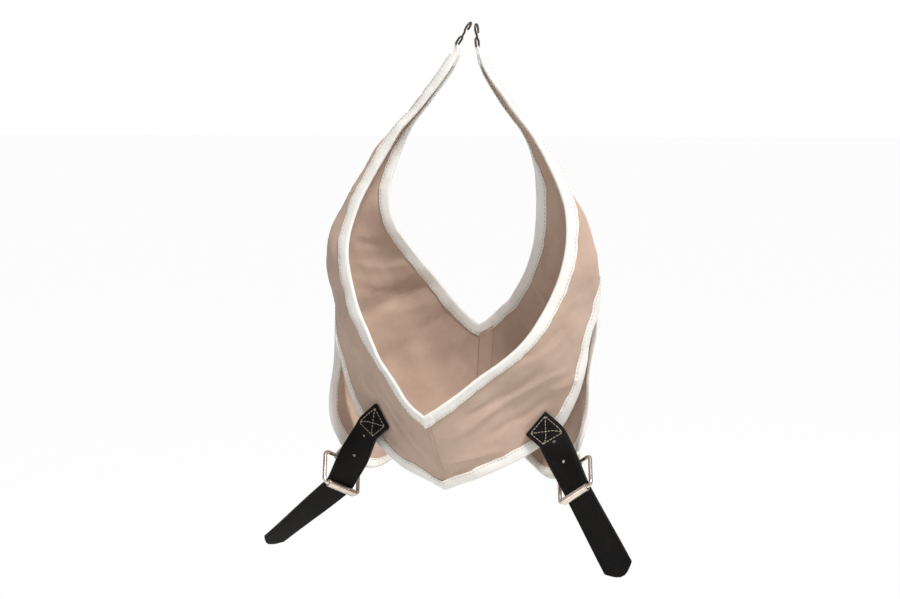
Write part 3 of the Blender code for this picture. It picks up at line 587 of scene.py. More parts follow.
def metal_material(name, base, dark, lo, hi, spots=0.35):
    m = Mat(name)
    tc = m.node("ShaderNodeTexCoord").outputs["Object"]
    big = m.noise(tc, 90.0, 4.0, 0.6)
    fine = m.noise(tc, 900.0, 3.0, 0.6)
    scratch = m.noise(tc, 260.0, 4.0, 0.7, stretch=(1.0, 7.0, 0.6))
    col = m.ramp(m.grey(big, 0.3, 0.7), [(0.0, dark), (0.55, base), (1.0, tuple(min(1, c * 1.08) for c in base))])
    col = m.mix(m.math('MULTIPLY', m.grey(scratch, 0.58, 0.75), spots), col, tuple(c * 0.5 for c in dark))
    m.link(col, m.b.inputs["Base Color"])
    m.b.inputs["Metallic"].default_value = 1.0
    m.link(m.grey(scratch, 0.3, 0.75, lo, hi), m.b.inputs["Roughness"])
    nb = m.bump(scratch, 0.15, 0.0001)
    nb = m.bump(fine, 0.08, 0.0001, nb)
    m.link(nb, m.b.inputs["Normal"])
    return m.m


def thread_material(name, base):
    m = Mat(name)
    uv = uv_mm(m)
    ply = m.node("ShaderNodeSeparateXYZ")
    m.link(uv, ply.inputs[0])
    tw = m.math('ADD', m.math('MULTIPLY', ply.outputs[0], 9.0), m.math('MULTIPLY', ply.outputs[1], 12.566))
    tw = m.math('ADD', m.math('MULTIPLY', m.math('SINE', tw), 0.5), 0.5)
    nz = m.noise(uv, 0.9, 2.0)
    col = m.mix(m.math('MULTIPLY', tw, 0.45), base, tuple(c * 0.62 for c in base))
    col = m.mix(m.grey(nz, 0.4, 0.8, 0.0, 0.3), col, tuple(c * 0.75 for c in base))
    m.link(col, m.b.inputs["Base Color"])
    m.b.inputs["Roughness"].default_value = 0.75
    m.link(m.bump(tw, 0.5, 0.0001), m.b.inputs["Normal"])
    return m.m


M_CANVAS = canvas_material("canvas_twill", (0.585, 0.425, 0.335), (0.50, 0.35, 0.27))
M_TAPE = tape_material("cotton_tape", (0.885, 0.868, 0.832), (0.83, 0.805, 0.762))
M_WEB = tape_material("cotton_webbing", (0.90, 0.875, 0.82), (0.83, 0.80, 0.74))
M_LEATHER = leather_material("strap_leather")
M_NICKEL = metal_material("warm_nickel", (0.77, 0.68, 0.60), (0.60, 0.50, 0.42), 0.20, 0.42)
M_STEEL = metal_material("dark_wire", (0.115, 0.092, 0.078), (0.055, 0.042, 0.034), 0.30, 0.5)
M_CREAM = thread_material("cream_thread", (0.62, 0.52, 0.38))
M_TAN = thread_material("tan_thread", (0.50, 0.33, 0.23))
M_WHITE = thread_material("pale_thread", (0.66, 0.54, 0.45))


# ------------------------------------------------------------------- canvas
def canvas_piece(name, side, kind, nodes):
    """Cloth of one half band with its arm, from the hook loop to the centre seam."""
    sh = SHEETS[(side, kind)]
    ts = sh.t_steps(ARM_TOP, sh.last, 1.9, "in" if kind == 0 else "out")
    C = 45
    top, bot, uvs = [], [], []
    for t in ts:
        L = sh.length(t)
        far = L if t <= JOIN else L - EDGE_IN * min(1.0, (t - JOIN) / 0.3)
        us = EDGE_IN + (far - EDGE_IN) * np.linspace(0, 1, C)
        P, N, D = sh.row(t, us)
        seam = math.exp(-(((t - SEAM_T) / 0.035) ** 2)) * 0.35
        if t > sh.last - 1e-6:
            P = P + np.array([side * 0.1, 0, 0])
        # the centre seam pulls the cloth in a little
        v_end = sh.V[-1] - float(np.interp(t, sh.t, sh.V))
        pull = 1.1 * math.exp(-(v_end / 1.6) ** 2)
        h = CANVAS_T / 2
        top.append(P + N * (D - seam - pull + h)[:, None])
        bot.append(P + N * (D - seam * 0.4 - pull * 0.5 - h)[:, None])
        v = float(np.interp(t, sh.t, sh.V))
        uvs.append(np.stack([np.full(C, v), us], axis=1))
    R = len(ts)
    verts = np.concatenate([np.array(top).reshape(-1, 3), np.array(bot).reshape(-1, 3)])
    uv = np.concatenate([np.array(uvs).reshape(-1, 2)] * 2)
    f = grid_faces(R, C) + grid_faces(R, C, R * C)
    off = R * C
    for j in range(C - 1):
        f.append((j, off + j, off + j + 1, j + 1))
        a = (R - 1) * C + j
        f.append((a, a + 1, off + a + 1, off + a))
    for i in range(R - 1):
        a, b = i * C, (i + 1) * C
        f.append((a, b, off + b, off + a))
        a, b = a + C - 1, b + C - 1
        f.append((a, off + a, off + b, b))
    ob = new_object(name, verts, f, M_CANVAS, uv)
    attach(ob, "sling_body")
    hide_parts(*nodes)
    return ob


def binding_piece(name, kind, key, t_lo, node):
    """Cotton tape folded round one edge, with a wavy stitched inner line."""
    at_outer = key == "out"
    prof = []           # (fraction of width, height factor) round the section
    ho = CANVAS_T / 2 + 0.15 + TAPE_T
    hi = CANVAS_T / 2 + 0.12
    rows, uvs, line = [], [], []
    dist = 0.0
    prev = None
    wob = [(rng.uniform(0, 6.28), lam, amp) for lam, amp in ((31, 0.30), (17, 0.22), (9.5, 0.14))]
    for side in (-1, 1):
        sh = SHEETS[(side, kind)]
        t_in = t_lo - 1.15 if (at_outer and kind == 0 and side == 1) else t_lo
        ts = sh.t_steps(t_in, sh.last, 0.85, key)
        if side == 1:
            ts = ts[::-1][1:]
        for t in ts:
            L = sh.length(t)
            w0 = tape_width(sh, t)
            w1 = w0
            if at_outer:                        # the tape starts as a turned-in point
                w0 *= 0.22 + 0.78 * float(smooth01((t - t_in) / 0.75))
                w1 = w0
            elif kind == 0:                     # on the narrow arm it covers the whole front
                w0 = min(TAPE_W, max(w0, L - 0.5))
            else:                               # and thins to a rolled edge at the rear
                w1 *= (0.42 + 0.58 * float(smooth01((t - 1.6) / 3.0)) if side < 0
                       else 0.30 + 0.70 * float(smooth01((t - 3.5) / 1.4)))
                w1 = max(w1, 1.9)
            e = sh.row(t, np.array([L if at_outer else 0.0]))[0][0]
            if prev is not None:
                dist += float(np.linalg.norm(e - prev))
            prev = e
            wav = sum(a * math.sin(2 * math.pi * dist / lam + ph) for ph, lam, a in wob)
            wf = w0 + (wav + 0.24 * abs(math.sin(math.pi * dist / 3.4)) - 0.1) * min(1, w0 / 8)
            wb = w1 + (0.7 * wav - 0.2) * min(1, w1 / 8)
            pk = 0.10 * math.sin(2 * math.pi * dist / 3.4) + 0.10 * wav
            lap = 0.0
            if kind == 0 and not at_outer:      # lapped tape end beside the V
                v_end = sh.V[-1] - float(np.interp(t, sh.t, sh.V))
                if side == 1:
                    lap = 0.8 * float(smooth01((13.5 - v_end) / 1.4))
                else:
                    lap = 0.8 * float(smooth01((5.0 - v_end) / 5.0))
            o, i_ = ho + lap, hi
            kf, kb = min(1.0, wf / 7.5), min(1.0, wb / 7.5)
            pr = [(wf - 0.0, o - 0.62), (wf - 0.25 * kf, o - 0.22), (wf - 0.8 * kf, o - 0.12 + pk * 0.3),
                  (wf - 1.7 * kf, o - 0.32), (wf - 2.7 * kf, o + pk * 0.5), (wf * 0.55, o + 0.12),
                  (2.6 * kf, o), (1.2 * kf, o - 0.12), (0.35 * kf, o * 0.78), (-0.15, o * 0.42),
                  (-0.3, 0.0), (-0.15, -ho * 0.42), (0.35 * kb, -ho * 0.78),
                  (1.2 * kb, -ho + 0.12), (2.6 * kb, -ho), (wb * 0.55, -ho - 0.12),
                  (wb - 2.7 * kb, -ho), (wb - 1.7 * kb, -ho + 0.32),
                  (wb - 0.8 * kb, -ho + 0.12), (wb - 0.25 * kb, -ho + 0.22), (wb, -ho + 0.62),
                  (wb - 0.1, -i_), (EDGE_IN - 0.4, -i_), (EDGE_IN - 0.4, i_), (wf - 0.1, i_)]
            u = np.array([max(q[0], -0.3) for q in pr])
            k = min(1.0, w0 / 6.0)
            u = np.where(u > 0, u * 1.0, u)
            uu = np.clip(np.abs(u), 0, None)
            P, N, D = sh.row(t, (L - np.maximum(u, 0)) if at_outer else np.maximum(u, 0))
            # the fold stands a little past the cloth edge
            dirn = P[10] - sh.row(t, np.array([(L - 3.0) if at_outer else 3.0]))[0][0]
            dirn = unit(dirn)
            hh = np.array([q[1] for q in pr])
            pts = P + N * (D + hh)[:, None] + dirn[None] * np.where(u < 0, -u, 0.0)[:, None]
            rows.append(pts)
            acc = np.concatenate([[0], np.cumsum(np.linalg.norm(np.diff(pts, axis=0), axis=1))])
            uvs.append(np.stack([np.full(len(pr), dist), acc], axis=1))
            line.append((dist, pts[3], N[3], pts[17], -N[17], unit(P[3] - P[10]) if w0 > 2 else N[3]))
    C = len(rows[0])
    verts = np.array(rows).reshape(-1, 3)
    f = grid_faces(len(rows), C, wrap=True)
    f.append(tuple(range(C)))
    m0 = (len(rows) - 1) * C
    f.append(tuple(m0 + k for k in range(C))[::-1])
    ob = new_object(name, verts, f, M_TAPE, np.array(uvs).reshape(-1, 2), sharp=70)
    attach(ob, "sling_body")
    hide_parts(node)
    # lock stitches along both faces
    d = np.array([q[0] for q in line])
    A = np.array([q[1] for q in line])
    NA = np.array([q[2] for q in line])
    B = np.array([q[3] for q in line])
    NB = np.array([q[4] for q in line])
    st = Parts()
    x = 3.0
    while x < d[-1] - 4.0:
        j0, j1 = np.searchsorted(d, x), np.searchsorted(d, x + 2.45)
        st.stitch(A[j0] + NA[j0] * 0.05, A[j1] + NA[j1] * 0.05, NA[j0], 0.30, 0.22)
        st.stitch(B[j0] + NB[j0] * 0.05, B[j1] + NB[j1] * 0.05, NB[j0], 0.30, 0.22)
        x += 3.4
    so = st.build(name + "_stitches", M_WHITE)
    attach(so, "sling_body")
    return ob, so


canvas = {}
for sd, nm in ((-1, "left"), (1, "right")):
    canvas[(sd, 0)] = canvas_piece("canvas_front_" + nm, sd, 0, ["front_panel_" + nm])
    canvas[(sd, 1)] = canvas_piece("canvas_rear_" + nm, sd, 1, ["rear_panel_" + nm, "arm_" + nm])
binding_piece("tape_mouth_front", 0, "in", ARM_TOP, "mouth_binding_front")
binding_piece("tape_mouth_rear", 1, "in", ARM_TOP, "mouth_binding_rear")
binding_piece("tape_lower_front", 0, "out", JOIN + 0.3, "lower_binding_front")
binding_piece("tape_lower_rear", 1, "out", JOIN + 0.3, "lower_binding_rear")


def seam_stitches(name, runs, mat, pitch=3.0, gap=0.8, r=0.28):
    """runs: lists of (point, normal) along which stitches are set."""
    st = Parts()
    for run in runs:
        P = np.array([q[0] for q in run])
        N = np.array([q[1] for q in run])
        d = np.concatenate([[0], np.cumsum(np.linalg.norm(np.diff(P, axis=0), axis=1))])
        x = 1.0
        while x + pitch - gap < d[-1]:
            a = np.array([np.interp(x, d, P[:, k]) for k in range(3)])
            b = np.array([np.interp(x + pitch - gap, d, P[:, k]) for k in range(3)])
            n = np.array([np.interp(x, d, N[:, k]) for k in range(3)])
            st.stitch(a, b, n, r, 0.22)
            x += pitch
    ob = st.build(name, mat)
    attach(ob, "sling_body")
    return ob


def run_across(sh, t, u0, u1, face, n=40):
    """Line across the band at one station, on its outer (1) or inner (-1) face."""
    us = np.linspace(u0, u1, n)
    P, N, D = sh.row(t, us)
    return [(P[i] + N[i] * (D[i] + face * (CANVAS_T / 2 + 0.03)), N[i] * face) for i in range(n)]


def run_parallel(sh, xoff, u0, u1, face, n=60, lift=0.03):
    """Line along the centre seam at a fixed distance from it."""
    out = []
    for u in np.linspace(u0, u1, n):
        lo, hi = sh.last - 4.0, float(sh.last)
        for _ in range(18):
            t = (lo + hi) / 2
            x = abs(sh.row(t, np.array([min(u, sh.length(t) - 1)]))[0][0][0] - sh.row(sh.last, np.array([u]))[0][0][0])
            if x > xoff:
                lo = t
            else:
                hi = t
        P, N, D = sh.row(t, np.array([min(u, sh.length(t) - 1)]))
        out.append((P[0] + N[0] * (D[0] + face * (CANVAS_T / 2 + lift)), N[0] * face))
    return out


# topstitching beside the centre seams and round the arm seams
runs_f, runs_r, runs_a = [], [], []
for face in (1, -1):
    sh = SHEETS[(1, 0)]
    runs_f.append(run_parallel(sh, 3.0, 9.0, sh.length(sh.last) - 10.0, face))
    sh = SHEETS[(1, 1)]
    runs_r.append(run_parallel(sh, 1.8, 9.0, sh.length(sh.last) - 10.0, face))
    runs_r.append(run_parallel(sh, 13.0, 9.0, sh.length(sh.last) - 10.0, face, lift=0.03 if face > 0 else 1.05))
    for sd in (-1, 1):
        for kind in (0, 1):
            sh = SHEETS[(sd, kind)]
            for off in (2.2,):
                t = float(np.interp(np.interp(SEAM_T, sh.t, sh.V) + off, sh.V, sh.t))
                if face > 0:
                    runs_a.append(run_across(sh, t, 10.2, sh.length(t) - 0.2, face))
s_front = seam_stitches("front_seam_thread", runs_f, M_TAN)
s_rear = seam_stitches("rear_seam_thread", runs_r, M_TAN)
s_arm = seam_stitches("arm_seam_thread", runs_a, M_TAN)


def allowance(name, sh, x0, x1):
    """Seam allowance turned to one side on the inner face of the band."""
    C = 9
    cols = [run_parallel(sh, x0 + (x1 - x0) * j / (C - 1), 6.0, sh.length(sh.last) - 7.0, -1, n=70, lift=0.0)
            for j in range(C)]
    top, bot, uvs = [], [], []
    for i in range(70):
        for j in range(C):
            P, N = cols[j][i]
            edge = min(j, C - 1 - j) / (C - 1)
            h = 0.95 - (0.55 if j == C - 1 else 0.0) + 0.10 * math.sin(i * 0.55 + j * 0.4)
            top.append(P + N * h)
            bot.append(P + N * -0.15)
            uvs.append((x0 + (x1 - x0) * j / (C - 1), i * 1.1))
    R = 70
    off = R * C
    f = grid_faces(R, C) + grid_faces(R, C, off)
    for j in range(C - 1):
        f.append((j, off + j, off + j + 1, j + 1))
        q = (R - 1) * C + j
        f.append((q, q + 1, off + q + 1, off + q))
    for i in range(R - 1):
        q, r = i * C, (i + 1) * C
        f.append((q, r, off + r, off + q))
        q, r = q + C - 1, r + C - 1
        f.append((q, off + q, off + r, r))
    ob = new_object(name, top + bot, f, M_CANVAS, uvs * 2)
    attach(ob, "sling_body")
    return ob


flap = allowance("rear_seam_allowance", SHEETS[(1, 1)], 0.5, 14.5)


def mesh_area(ob):
    me = ob.data
    a = np.empty(len(me.polygons), dtype=np.float64)
    me.polygons.foreach_get("area", a)
    return float(a.sum())


for (sd, kind), ob in canvas.items():
    sh = SHEETS[(sd, kind)]
    area = mesh_area(ob) / 2


# ------------------------------------------------------------------ buckles
BUCKLES = {-1: ((-101.2, -63.1, -386.8), (-0.611, -0.660, 0.438), (0.211, -0.669, -0.713)),
           1: ((108.3, -71.8, -378.6), (0.787, -0.252, 0.563), (0.205, -0.754, -0.624))}
WIRE, FRAME_W, FRAME_H, ROLL_D, ROLL_L = 3.4, 35.5, 31.0, 6.6, 27.0


class Buckle:
    def __init__(self, side):
        c, ex, h = BUCKLES[side]
        self.side, self.c, self.e = side, np.array(c), unit(ex)
        h = np.array(h, float)
        self.h = unit(h - (h @ self.e) * self.e)
        self.n = np.cross(self.e, self.h) * (-side)
        self.bar = self.c - self.h * FRAME_H / 2
        self.roll = self.c + self.h * FRAME_H / 2

    def at(self, h, n, e=0.0):
        return self.c + self.h * h + self.n * n + self.e * e


BK = {-1: Buckle(-1), 1: Buckle(1)}


def buckle(side, nm):
    k = BK[side]
    w, h, r = FRAME_W / 2, FRAME_H / 2, 3.8
    pts = []
    for cx, cy, g0 in ((w - r, h - r, 0), (-(w - r), h - r, 90),
                       (-(w - r), -(h - r), 180), (w - r, -(h - r), 270)):
        for g in range(0, 91, 9):
            an = math.radians(g0 + g)
            pts.append(k.at(cy + r * math.sin(an), 0.0, cx + r * math.cos(an)))
    # straight bars get points of their own so that the wire stays even
    loop = []
    for i in range(len(pts)):
        a, b = pts[i], pts[(i + 1) % len(pts)]
        m = max(1, int(np.linalg.norm(b - a) / 2.0))
        loop += [a + (b - a) * j / m for j in range(m)]
    v, f, uv = tube_mesh(loop, WIRE / 2, sides=20, closed=True, up=k.n)
    ob = new_object("frame_wire_" + nm, v, f, M_NICKEL, uv, sharp=80)
    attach(ob, "buckle_frame_" + nm)
    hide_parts("buckle_frame_" + nm)
    # rolled sheet tube with an open slit and rounded ends
    v, f, uv = [], [], []
    ro, ri, hl = ROLL_D / 2, WIRE / 2 + 0.12, ROLL_L / 2
    prof = [(-hl + 0.45, ro), (-hl + 2.0, ro), (0.0, ro + 0.02), (hl - 2.0, ro), (hl - 0.45, ro),
            (hl - 0.12, ro - 0.14), (hl, ro - 0.45), (hl, ri + 0.2), (hl - 0.25, ri),
            (-hl + 0.25, ri), (-hl, ri + 0.2), (-hl, ro - 0.45), (-hl + 0.12, ro - 0.14)]
    n = 48
    for i in range(n + 1):
        g = math.radians(3.5) + (2 * math.pi - math.radians(7)) * i / n + math.pi * 0.75
        for x, rr in prof:
            v.append(k.roll + k.e * x + (math.cos(g) * k.n + math.sin(g) * k.h) * rr)
            uv.append((x, g * 3))
    f = grid_faces(n + 1, len(prof), wrap=True)
    f.append(tuple(range(len(prof))))
    f.append(tuple(n * len(prof) + j for j in range(len(prof)))[::-1])
    ob = new_object("roller_tube_" + nm, v, f, M_NICKEL, uv, sharp=45)
    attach(ob, "buckle_roller_" + nm)
    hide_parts("buckle_roller_" + nm)
    # prong: flat drawn wire looped round the bar, with a rounded tip
    rr = WIRE / 2 + 0.12 + 0.9
    path = [(rr * math.cos(math.radians(g)), rr * math.sin(math.radians(g))) for g in range(60, 261, 10)]
    path += [(1.2, -rr - 0.6), (4.0, -rr - 2.4), (12.0, -rr - 7.6), (24.0, -rr - 12.4), (27.0, -rr - 14.4)]
    P = [k.at(a - FRAME_H / 2, b) for a, b in path]
    P, d = resample(cr(P[:-5], np.linspace(0, len(P) - 6, 40)).tolist() + [list(q) for q in cr(P[-6:], np.linspace(1, 5, 40))], 0.7)
    sec = []
    V, UV = [], []
    for i in range(len(P)):
        t = unit(P[min(i + 1, len(P) - 1)] - P[max(i - 1, 0)])
        nn = unit(np.cross(t, k.e))
        tip = min(1.0, 0.35 + (d[-1] - d[i]) / 3.0)
        for j in range(16):
            g = 2 * math.pi * j / 16
            cx, cy = math.cos(g), math.sin(g)
            sx = math.copysign(abs(cx) ** 0.6, cx) * 1.5 * tip
            sy = math.copysign(abs(cy) ** 0.6, cy) * 0.88 * tip
            V.append(P[i] + k.e * sx + nn * sy)
            UV.append((d[i], j))
    f = grid_faces(len(P), 16, wrap=True)
    f.append(tuple(range(16))[::-1])
    f.append(tuple((len(P) - 1) * 16 + j for j in range(16)))
    ob = new_object("prong_" + nm, V, f, M_NICKEL, UV, sharp=80)
    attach(ob, "buckle_prong_" + nm)
    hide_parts("buckle_prong_" + nm)


# ------------------------------------------------------------------- straps
PATCH = {-1: ((-59.4, -74.5, -332.6), (-73.2, -72.5, -344.2)),
         1: ((71.8, -62.6, -334.3), (85.7, -60.6, -345.9))}
PATCH_W = (0.674, 0.37, 0.648)
ROLL_OFF, PAST_ROLLER, HOLE_D = 5.1, 8.0, 3.0
HOLES = {-1: (8.0, 28.5), 1: (4.0, 23.0)}
TIP = {-1: (-170.5, -62.0, -454.2), 1: (150.5, -78.0, -455.6)}
TIP_W = {-1: (-0.445, -0.866, 0.236), 1: (0.95, 0.0, 0.25)}
POINT_L = 9.0


def strap(side, nm):
    """The whole strap in one piece of leather, stitched at its sewn end."""
    k = BK[side]
    p0, p1 = (np.array(p) for p in PATCH[side])
    w0 = unit(np.array([side * PATCH_W[0], PATCH_W[1], PATCH_W[2]]))
    tip = np.array(TIP[side])
    go = tip - p1
    m = np.cross(k.e, go - (go @ k.e) * k.e)
    m = unit(m if m @ k.n > 0 else -m)
    q = k.roll - m * ROLL_OFF
    path = rounded([p0, p1, q, tip], [13.0, 20.0], [8, 10])
    P, d = resample(path, 0.8)
    d_1 = float(np.linalg.norm(p1 - p0))
    d_q = d_1 + float(np.linalg.norm(q - p1))
    d_t = d[-1]
    wt = unit(np.array(TIP_W[side]))
    keys = [(0.0, w0), (d_1, w0), (d_q, k.e), (d_t, wt)]
    R, C = len(P), 37
    xs = np.linspace(-1, 1, C)
    tops, bots, uvs = [], [], []
    frames = []
    for i in range(R):
        t = unit(P[min(i + 1, R - 1)] - P[max(i - 1, 0)])
        j = 0
        while j < len(keys) - 2 and d[i] > keys[j + 1][0]:
            j += 1
        (x0, wa), (x1, wb) = keys[j], keys[j + 1]
        f = float(smooth01((d[i] - x0) / (x1 - x0)))
        w = wa * (1 - f) + wb * f
        w = unit(w - (w @ t) * t)
        n = np.cross(t, w)
        if n @ np.array([0.0, -1.0, 0.1]) < 0:
            n = -n
        half = STRAP_W / 2
        rem = d_t - d[i]
        if rem < POINT_L:            # blunt pointed end
            y = rem / POINT_L
            half *= 0.16 + 0.84 * min(1.0, (y * 1.18)) ** 0.72 if y < 1 else 1.0
        if d[i] < 1.0:
            half -= 0.5 * (1.0 - d[i])
        x = xs * half
        off = np.abs(x)
        # cut edges are rounded over, with a pressed line inside them
        edge = np.clip((half - off) / 0.9, 0, 1)
        thick = STRAP_T / 2 * np.sqrt(np.clip(1 - (1 - edge) ** 2 * 0.72, 0, 1))
        thick = thick - 0.10 * np.exp(-((half - off - 2.1) / 0.35) ** 2)
        if i < 2 or i > R - 3:
            thick = thick * 0.7
        cup = 0.35 * (x / (STRAP_W / 2)) ** 2 * math.sin(min(1.0, d[i] / d_t * 2) * 3.14)
        c = P[i][None] + w[None] * x[:, None] - n[None] * cup[:, None]
        tops.append(c + n[None] * thick[:, None])
        bots.append(c - n[None] * thick[:, None])
        uvs.append(np.stack([np.full(C, d[i]), xs * STRAP_W / 2], axis=1))
        frames.append((P[i], t, w, n))
    verts = np.concatenate([np.array(tops).reshape(-1, 3), np.array(bots).reshape(-1, 3)])
    uv = np.concatenate([np.array(uvs).reshape(-1, 2)] * 2)
    off = R * C
    f = grid_faces(R, C) + grid_faces(R, C, off)
    for j in range(C - 1):
        f.append((j, off + j, off + j + 1, j + 1))
        a = (R - 1) * C + j
        f.append((a, a + 1, off + a + 1, off + a))
    for i in range(R - 1):
        a, b = i * C, (i + 1) * C
        f.append((a, b, off + b, off + a))
        a, b = a + C - 1, b + C - 1
        f.append((a, off + a, off + b, b))
    ob = new_object("leather_strap_" + nm, verts, f, M_LEATHER, uv, sharp=60)

    def frame_at(x):
        i = int(min(max(round(x / d[-1] * (R - 1)), 0), R - 1))
        return frames[i]
    # punched holes
    cut = Parts()
    for g in HOLES[side]:
        c, t, w, n = frame_at(d_1 + g)
        v, ff, uvv = tube_mesh([c - n * 4, c + n * 4], HOLE_D / 2, sides=24, up=w)
        cut.add(v, ff, uvv)
    cutter = new_object("cut_tmp_" + nm, cut.v, cut.f, M_LEATHER, cut.uv)
    md = ob.modifiers.new("holes", 'BOOLEAN')
    md.operation, md.object, md.solver = 'DIFFERENCE', cutter, 'EXACT'
    dg = bpy.context.evaluated_depsgraph_get()
    me = bpy.data.meshes.new_from_object(ob.evaluated_get(dg))
    ob.modifiers.clear()
    ob.data = me
    bpy.data.objects.remove(cutter, do_unlink=True)
    me.shade_smooth()
    me.set_sharp_from_angle(angle=math.radians(60))
    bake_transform(ob)
    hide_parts("strap_" + nm, "strap_tail_" + nm)
    # box and cross stitching on the sewn end
    st = Parts()
    lo, hi, hw = 2.6, 19.6, STRAP_W / 2 - 3.6

    def on_face(a, b):
        c, t, w, n = frame_at(a)
        c = c + t * (a - d[int(min(max(round(a / d[-1] * (R - 1)), 0), R - 1))])
        return c + w * b + n * (STRAP_T / 2 - 0.02), n
    lines = [((lo, -hw), (hi, -hw)), ((hi, -hw), (hi, hw)), ((hi, hw), (lo, hw)),
             ((lo, hw), (lo, -hw)), ((lo, -hw), (hi, hw)), ((hi, -hw), (lo, hw))]
    for (a0, b0), (a1, b1) in lines:
        L = math.hypot(a1 - a0, b1 - b0)
        m_ = int(round(L / 2.9))
        for i in range(m_):
            f0, f1 = (i + 0.12) / m_, (i + 0.86) / m_
            p, n0 = on_face(a0 + (a1 - a0) * f0, b0 + (b1 - b0) * f0)
            r, n1 = on_face(a0 + (a1 - a0) * f1, b0 + (b1 - b0) * f1)
            st.stitch(p, r, n0, 0.27, 0.20)
    so = st.build("box_stitch_" + nm, M_CREAM)
    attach(so, "sling_body")


# --------------------------------------------------------------------- tabs
TAB_AIM = {-1: (-0.37, 0.93), 1: (-1.0, 0.0)}
TAB_REACH = {-1: 5.3, 1: 5.8}


def tab(side, nm):
    """Webbing round the tab bar, its two legs running up to the lobe's edge."""
    k = BK[side]
    dd = unit(k.h * TAB_AIM[side][0] + k.n * TAB_AIM[side][1])
    out = np.cross(k.e, dd)
    rr = WIRE / 2 + 0.3 + 0.55
    arc = []
    for g in range(0, 181, 10):
        an = math.radians(g)
        arc.append(k.bar + rr * (math.cos(an) * out - math.sin(an) * dd))
    leg = TAB_REACH[side] + 4.2
    path = [k.bar + dd * leg + out * rr * 0.72, k.bar + dd * 3.4 + out * rr] + arc \
        + [k.bar + dd * 3.4 - out * rr, k.bar + dd * leg - out * rr * 0.72]
    P, d = resample(path, 0.6)
    half, th = 6.5, 0.52
    parts = Parts()
    for lo, hi in ((-1.0, -0.335), (0.335, 1.0)):
        V, UV = [], []
        for i in range(len(P)):
            t = unit(P[min(i + 1, len(P) - 1)] - P[max(i - 1, 0)])
            fend = max(0.0, 1.0 - min(d[i], d[-1] - d[i]) / 6.0)
            w = unit(k.e + dd * 0.25 * fend)
            n = unit(np.cross(t, w))
            rib = 0.06 * math.sin(d[i] * 2 * math.pi / 1.3)
            a, b = lo * half, hi * half
            sec = [(a, -th * 0.5), (a + 0.3, -th), (b - 0.3, -th), (b, -th * 0.5), (b, th * 0.5),
                   (b - 0.3, th + rib), ((a + b) / 2, th + 0.05 + rib), (a + 0.3, th + rib), (a, th * 0.5)]
            for x, y in sec:
                V.append(P[i] + w * x + n * y)
                UV.append((d[i], x))
        C = 9
        f = grid_faces(len(P), C, wrap=True)
        f.append(tuple(range(C))[::-1])
        f.append(tuple((len(P) - 1) * C + j for j in range(C)))
        parts.add(V, f, UV)
    ob = parts.build("webbing_tab_" + nm, M_WEB)
    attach(ob, "sling_body")
    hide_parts("buckle_tab_" + nm)


# -------------------------------------------------------------------- hooks
HOOKS = {-1: ((-10.9, -16.0, -17.5), (0.7, -13.6, 0.6)),
         1: ((7.2, -16.0, -20.2), (5.4, -12.4, -0.8))}
HOOK_WIRE, EYE_W, EYE_H, CROWN_R = 1.9, 9.5, 6.5, 4.6


def hook_axes(side):
    e, kk = (np.array(p) for p in HOOKS[side])
    a = unit(kk - e)
    y = np.array([0.0, 1.0, 0.0])
    return e, kk, a, unit(y - (y @ a) * a)


def hook(side, nm):
    e, kk, a, b = hook_axes(side)
    length = float(np.linalg.norm(kk - e))
    h, c0, r = EYE_W / 2, length - CROWN_R, HOOK_WIRE / 2
    prof = []
    for g in range(-30, 256, 11):
        an = math.radians(g)
        prof.append((CROWN_R * math.cos(an), c0 + CROWN_R * math.sin(an)))
    prof.append((0.0, c0 - CROWN_R - 0.4))
    foot = EYE_H
    loop = rounded([(0.0, 0.0, 0), (h, 0.0, 0), (h, foot, 0), (1.2, foot + 1.2, 0)], [1.4, 2.0], [8, 7])
    half_eye = [(q[0], q[1]) for q in loop]
    pts2 = prof + [(0.0, foot + 3.0)] + half_eye[::-1]
    left = [(-q[0], q[1]) for q in half_eye[1:]]
    pts2 += left[:-1] + [(-1.2 - r - 0.25, foot + 0.55)]
    pts = [e + b * x + a * y for x, y in pts2]
    P, d = resample(pts, 0.45)
    for _ in range(3):
        P[1:-1] = (P[:-2] + 2 * P[1:-1] + P[2:]) / 4
    rad = np.full(len(P), r)
    for i in range(len(P)):
        endd = min(d[i], d[-1] - d[i])
        rad[i] = r * math.sqrt(min(1.0, 0.15 + endd / 0.9))
    v, f, uv = tube_mesh(P, rad, sides=14, up=np.cross(a, b))
    ob = new_object("wire_hook_" + nm, v, f, M_STEEL, uv, sharp=80)
    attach(ob, "hook_" + nm)
    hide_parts("hook_" + nm)


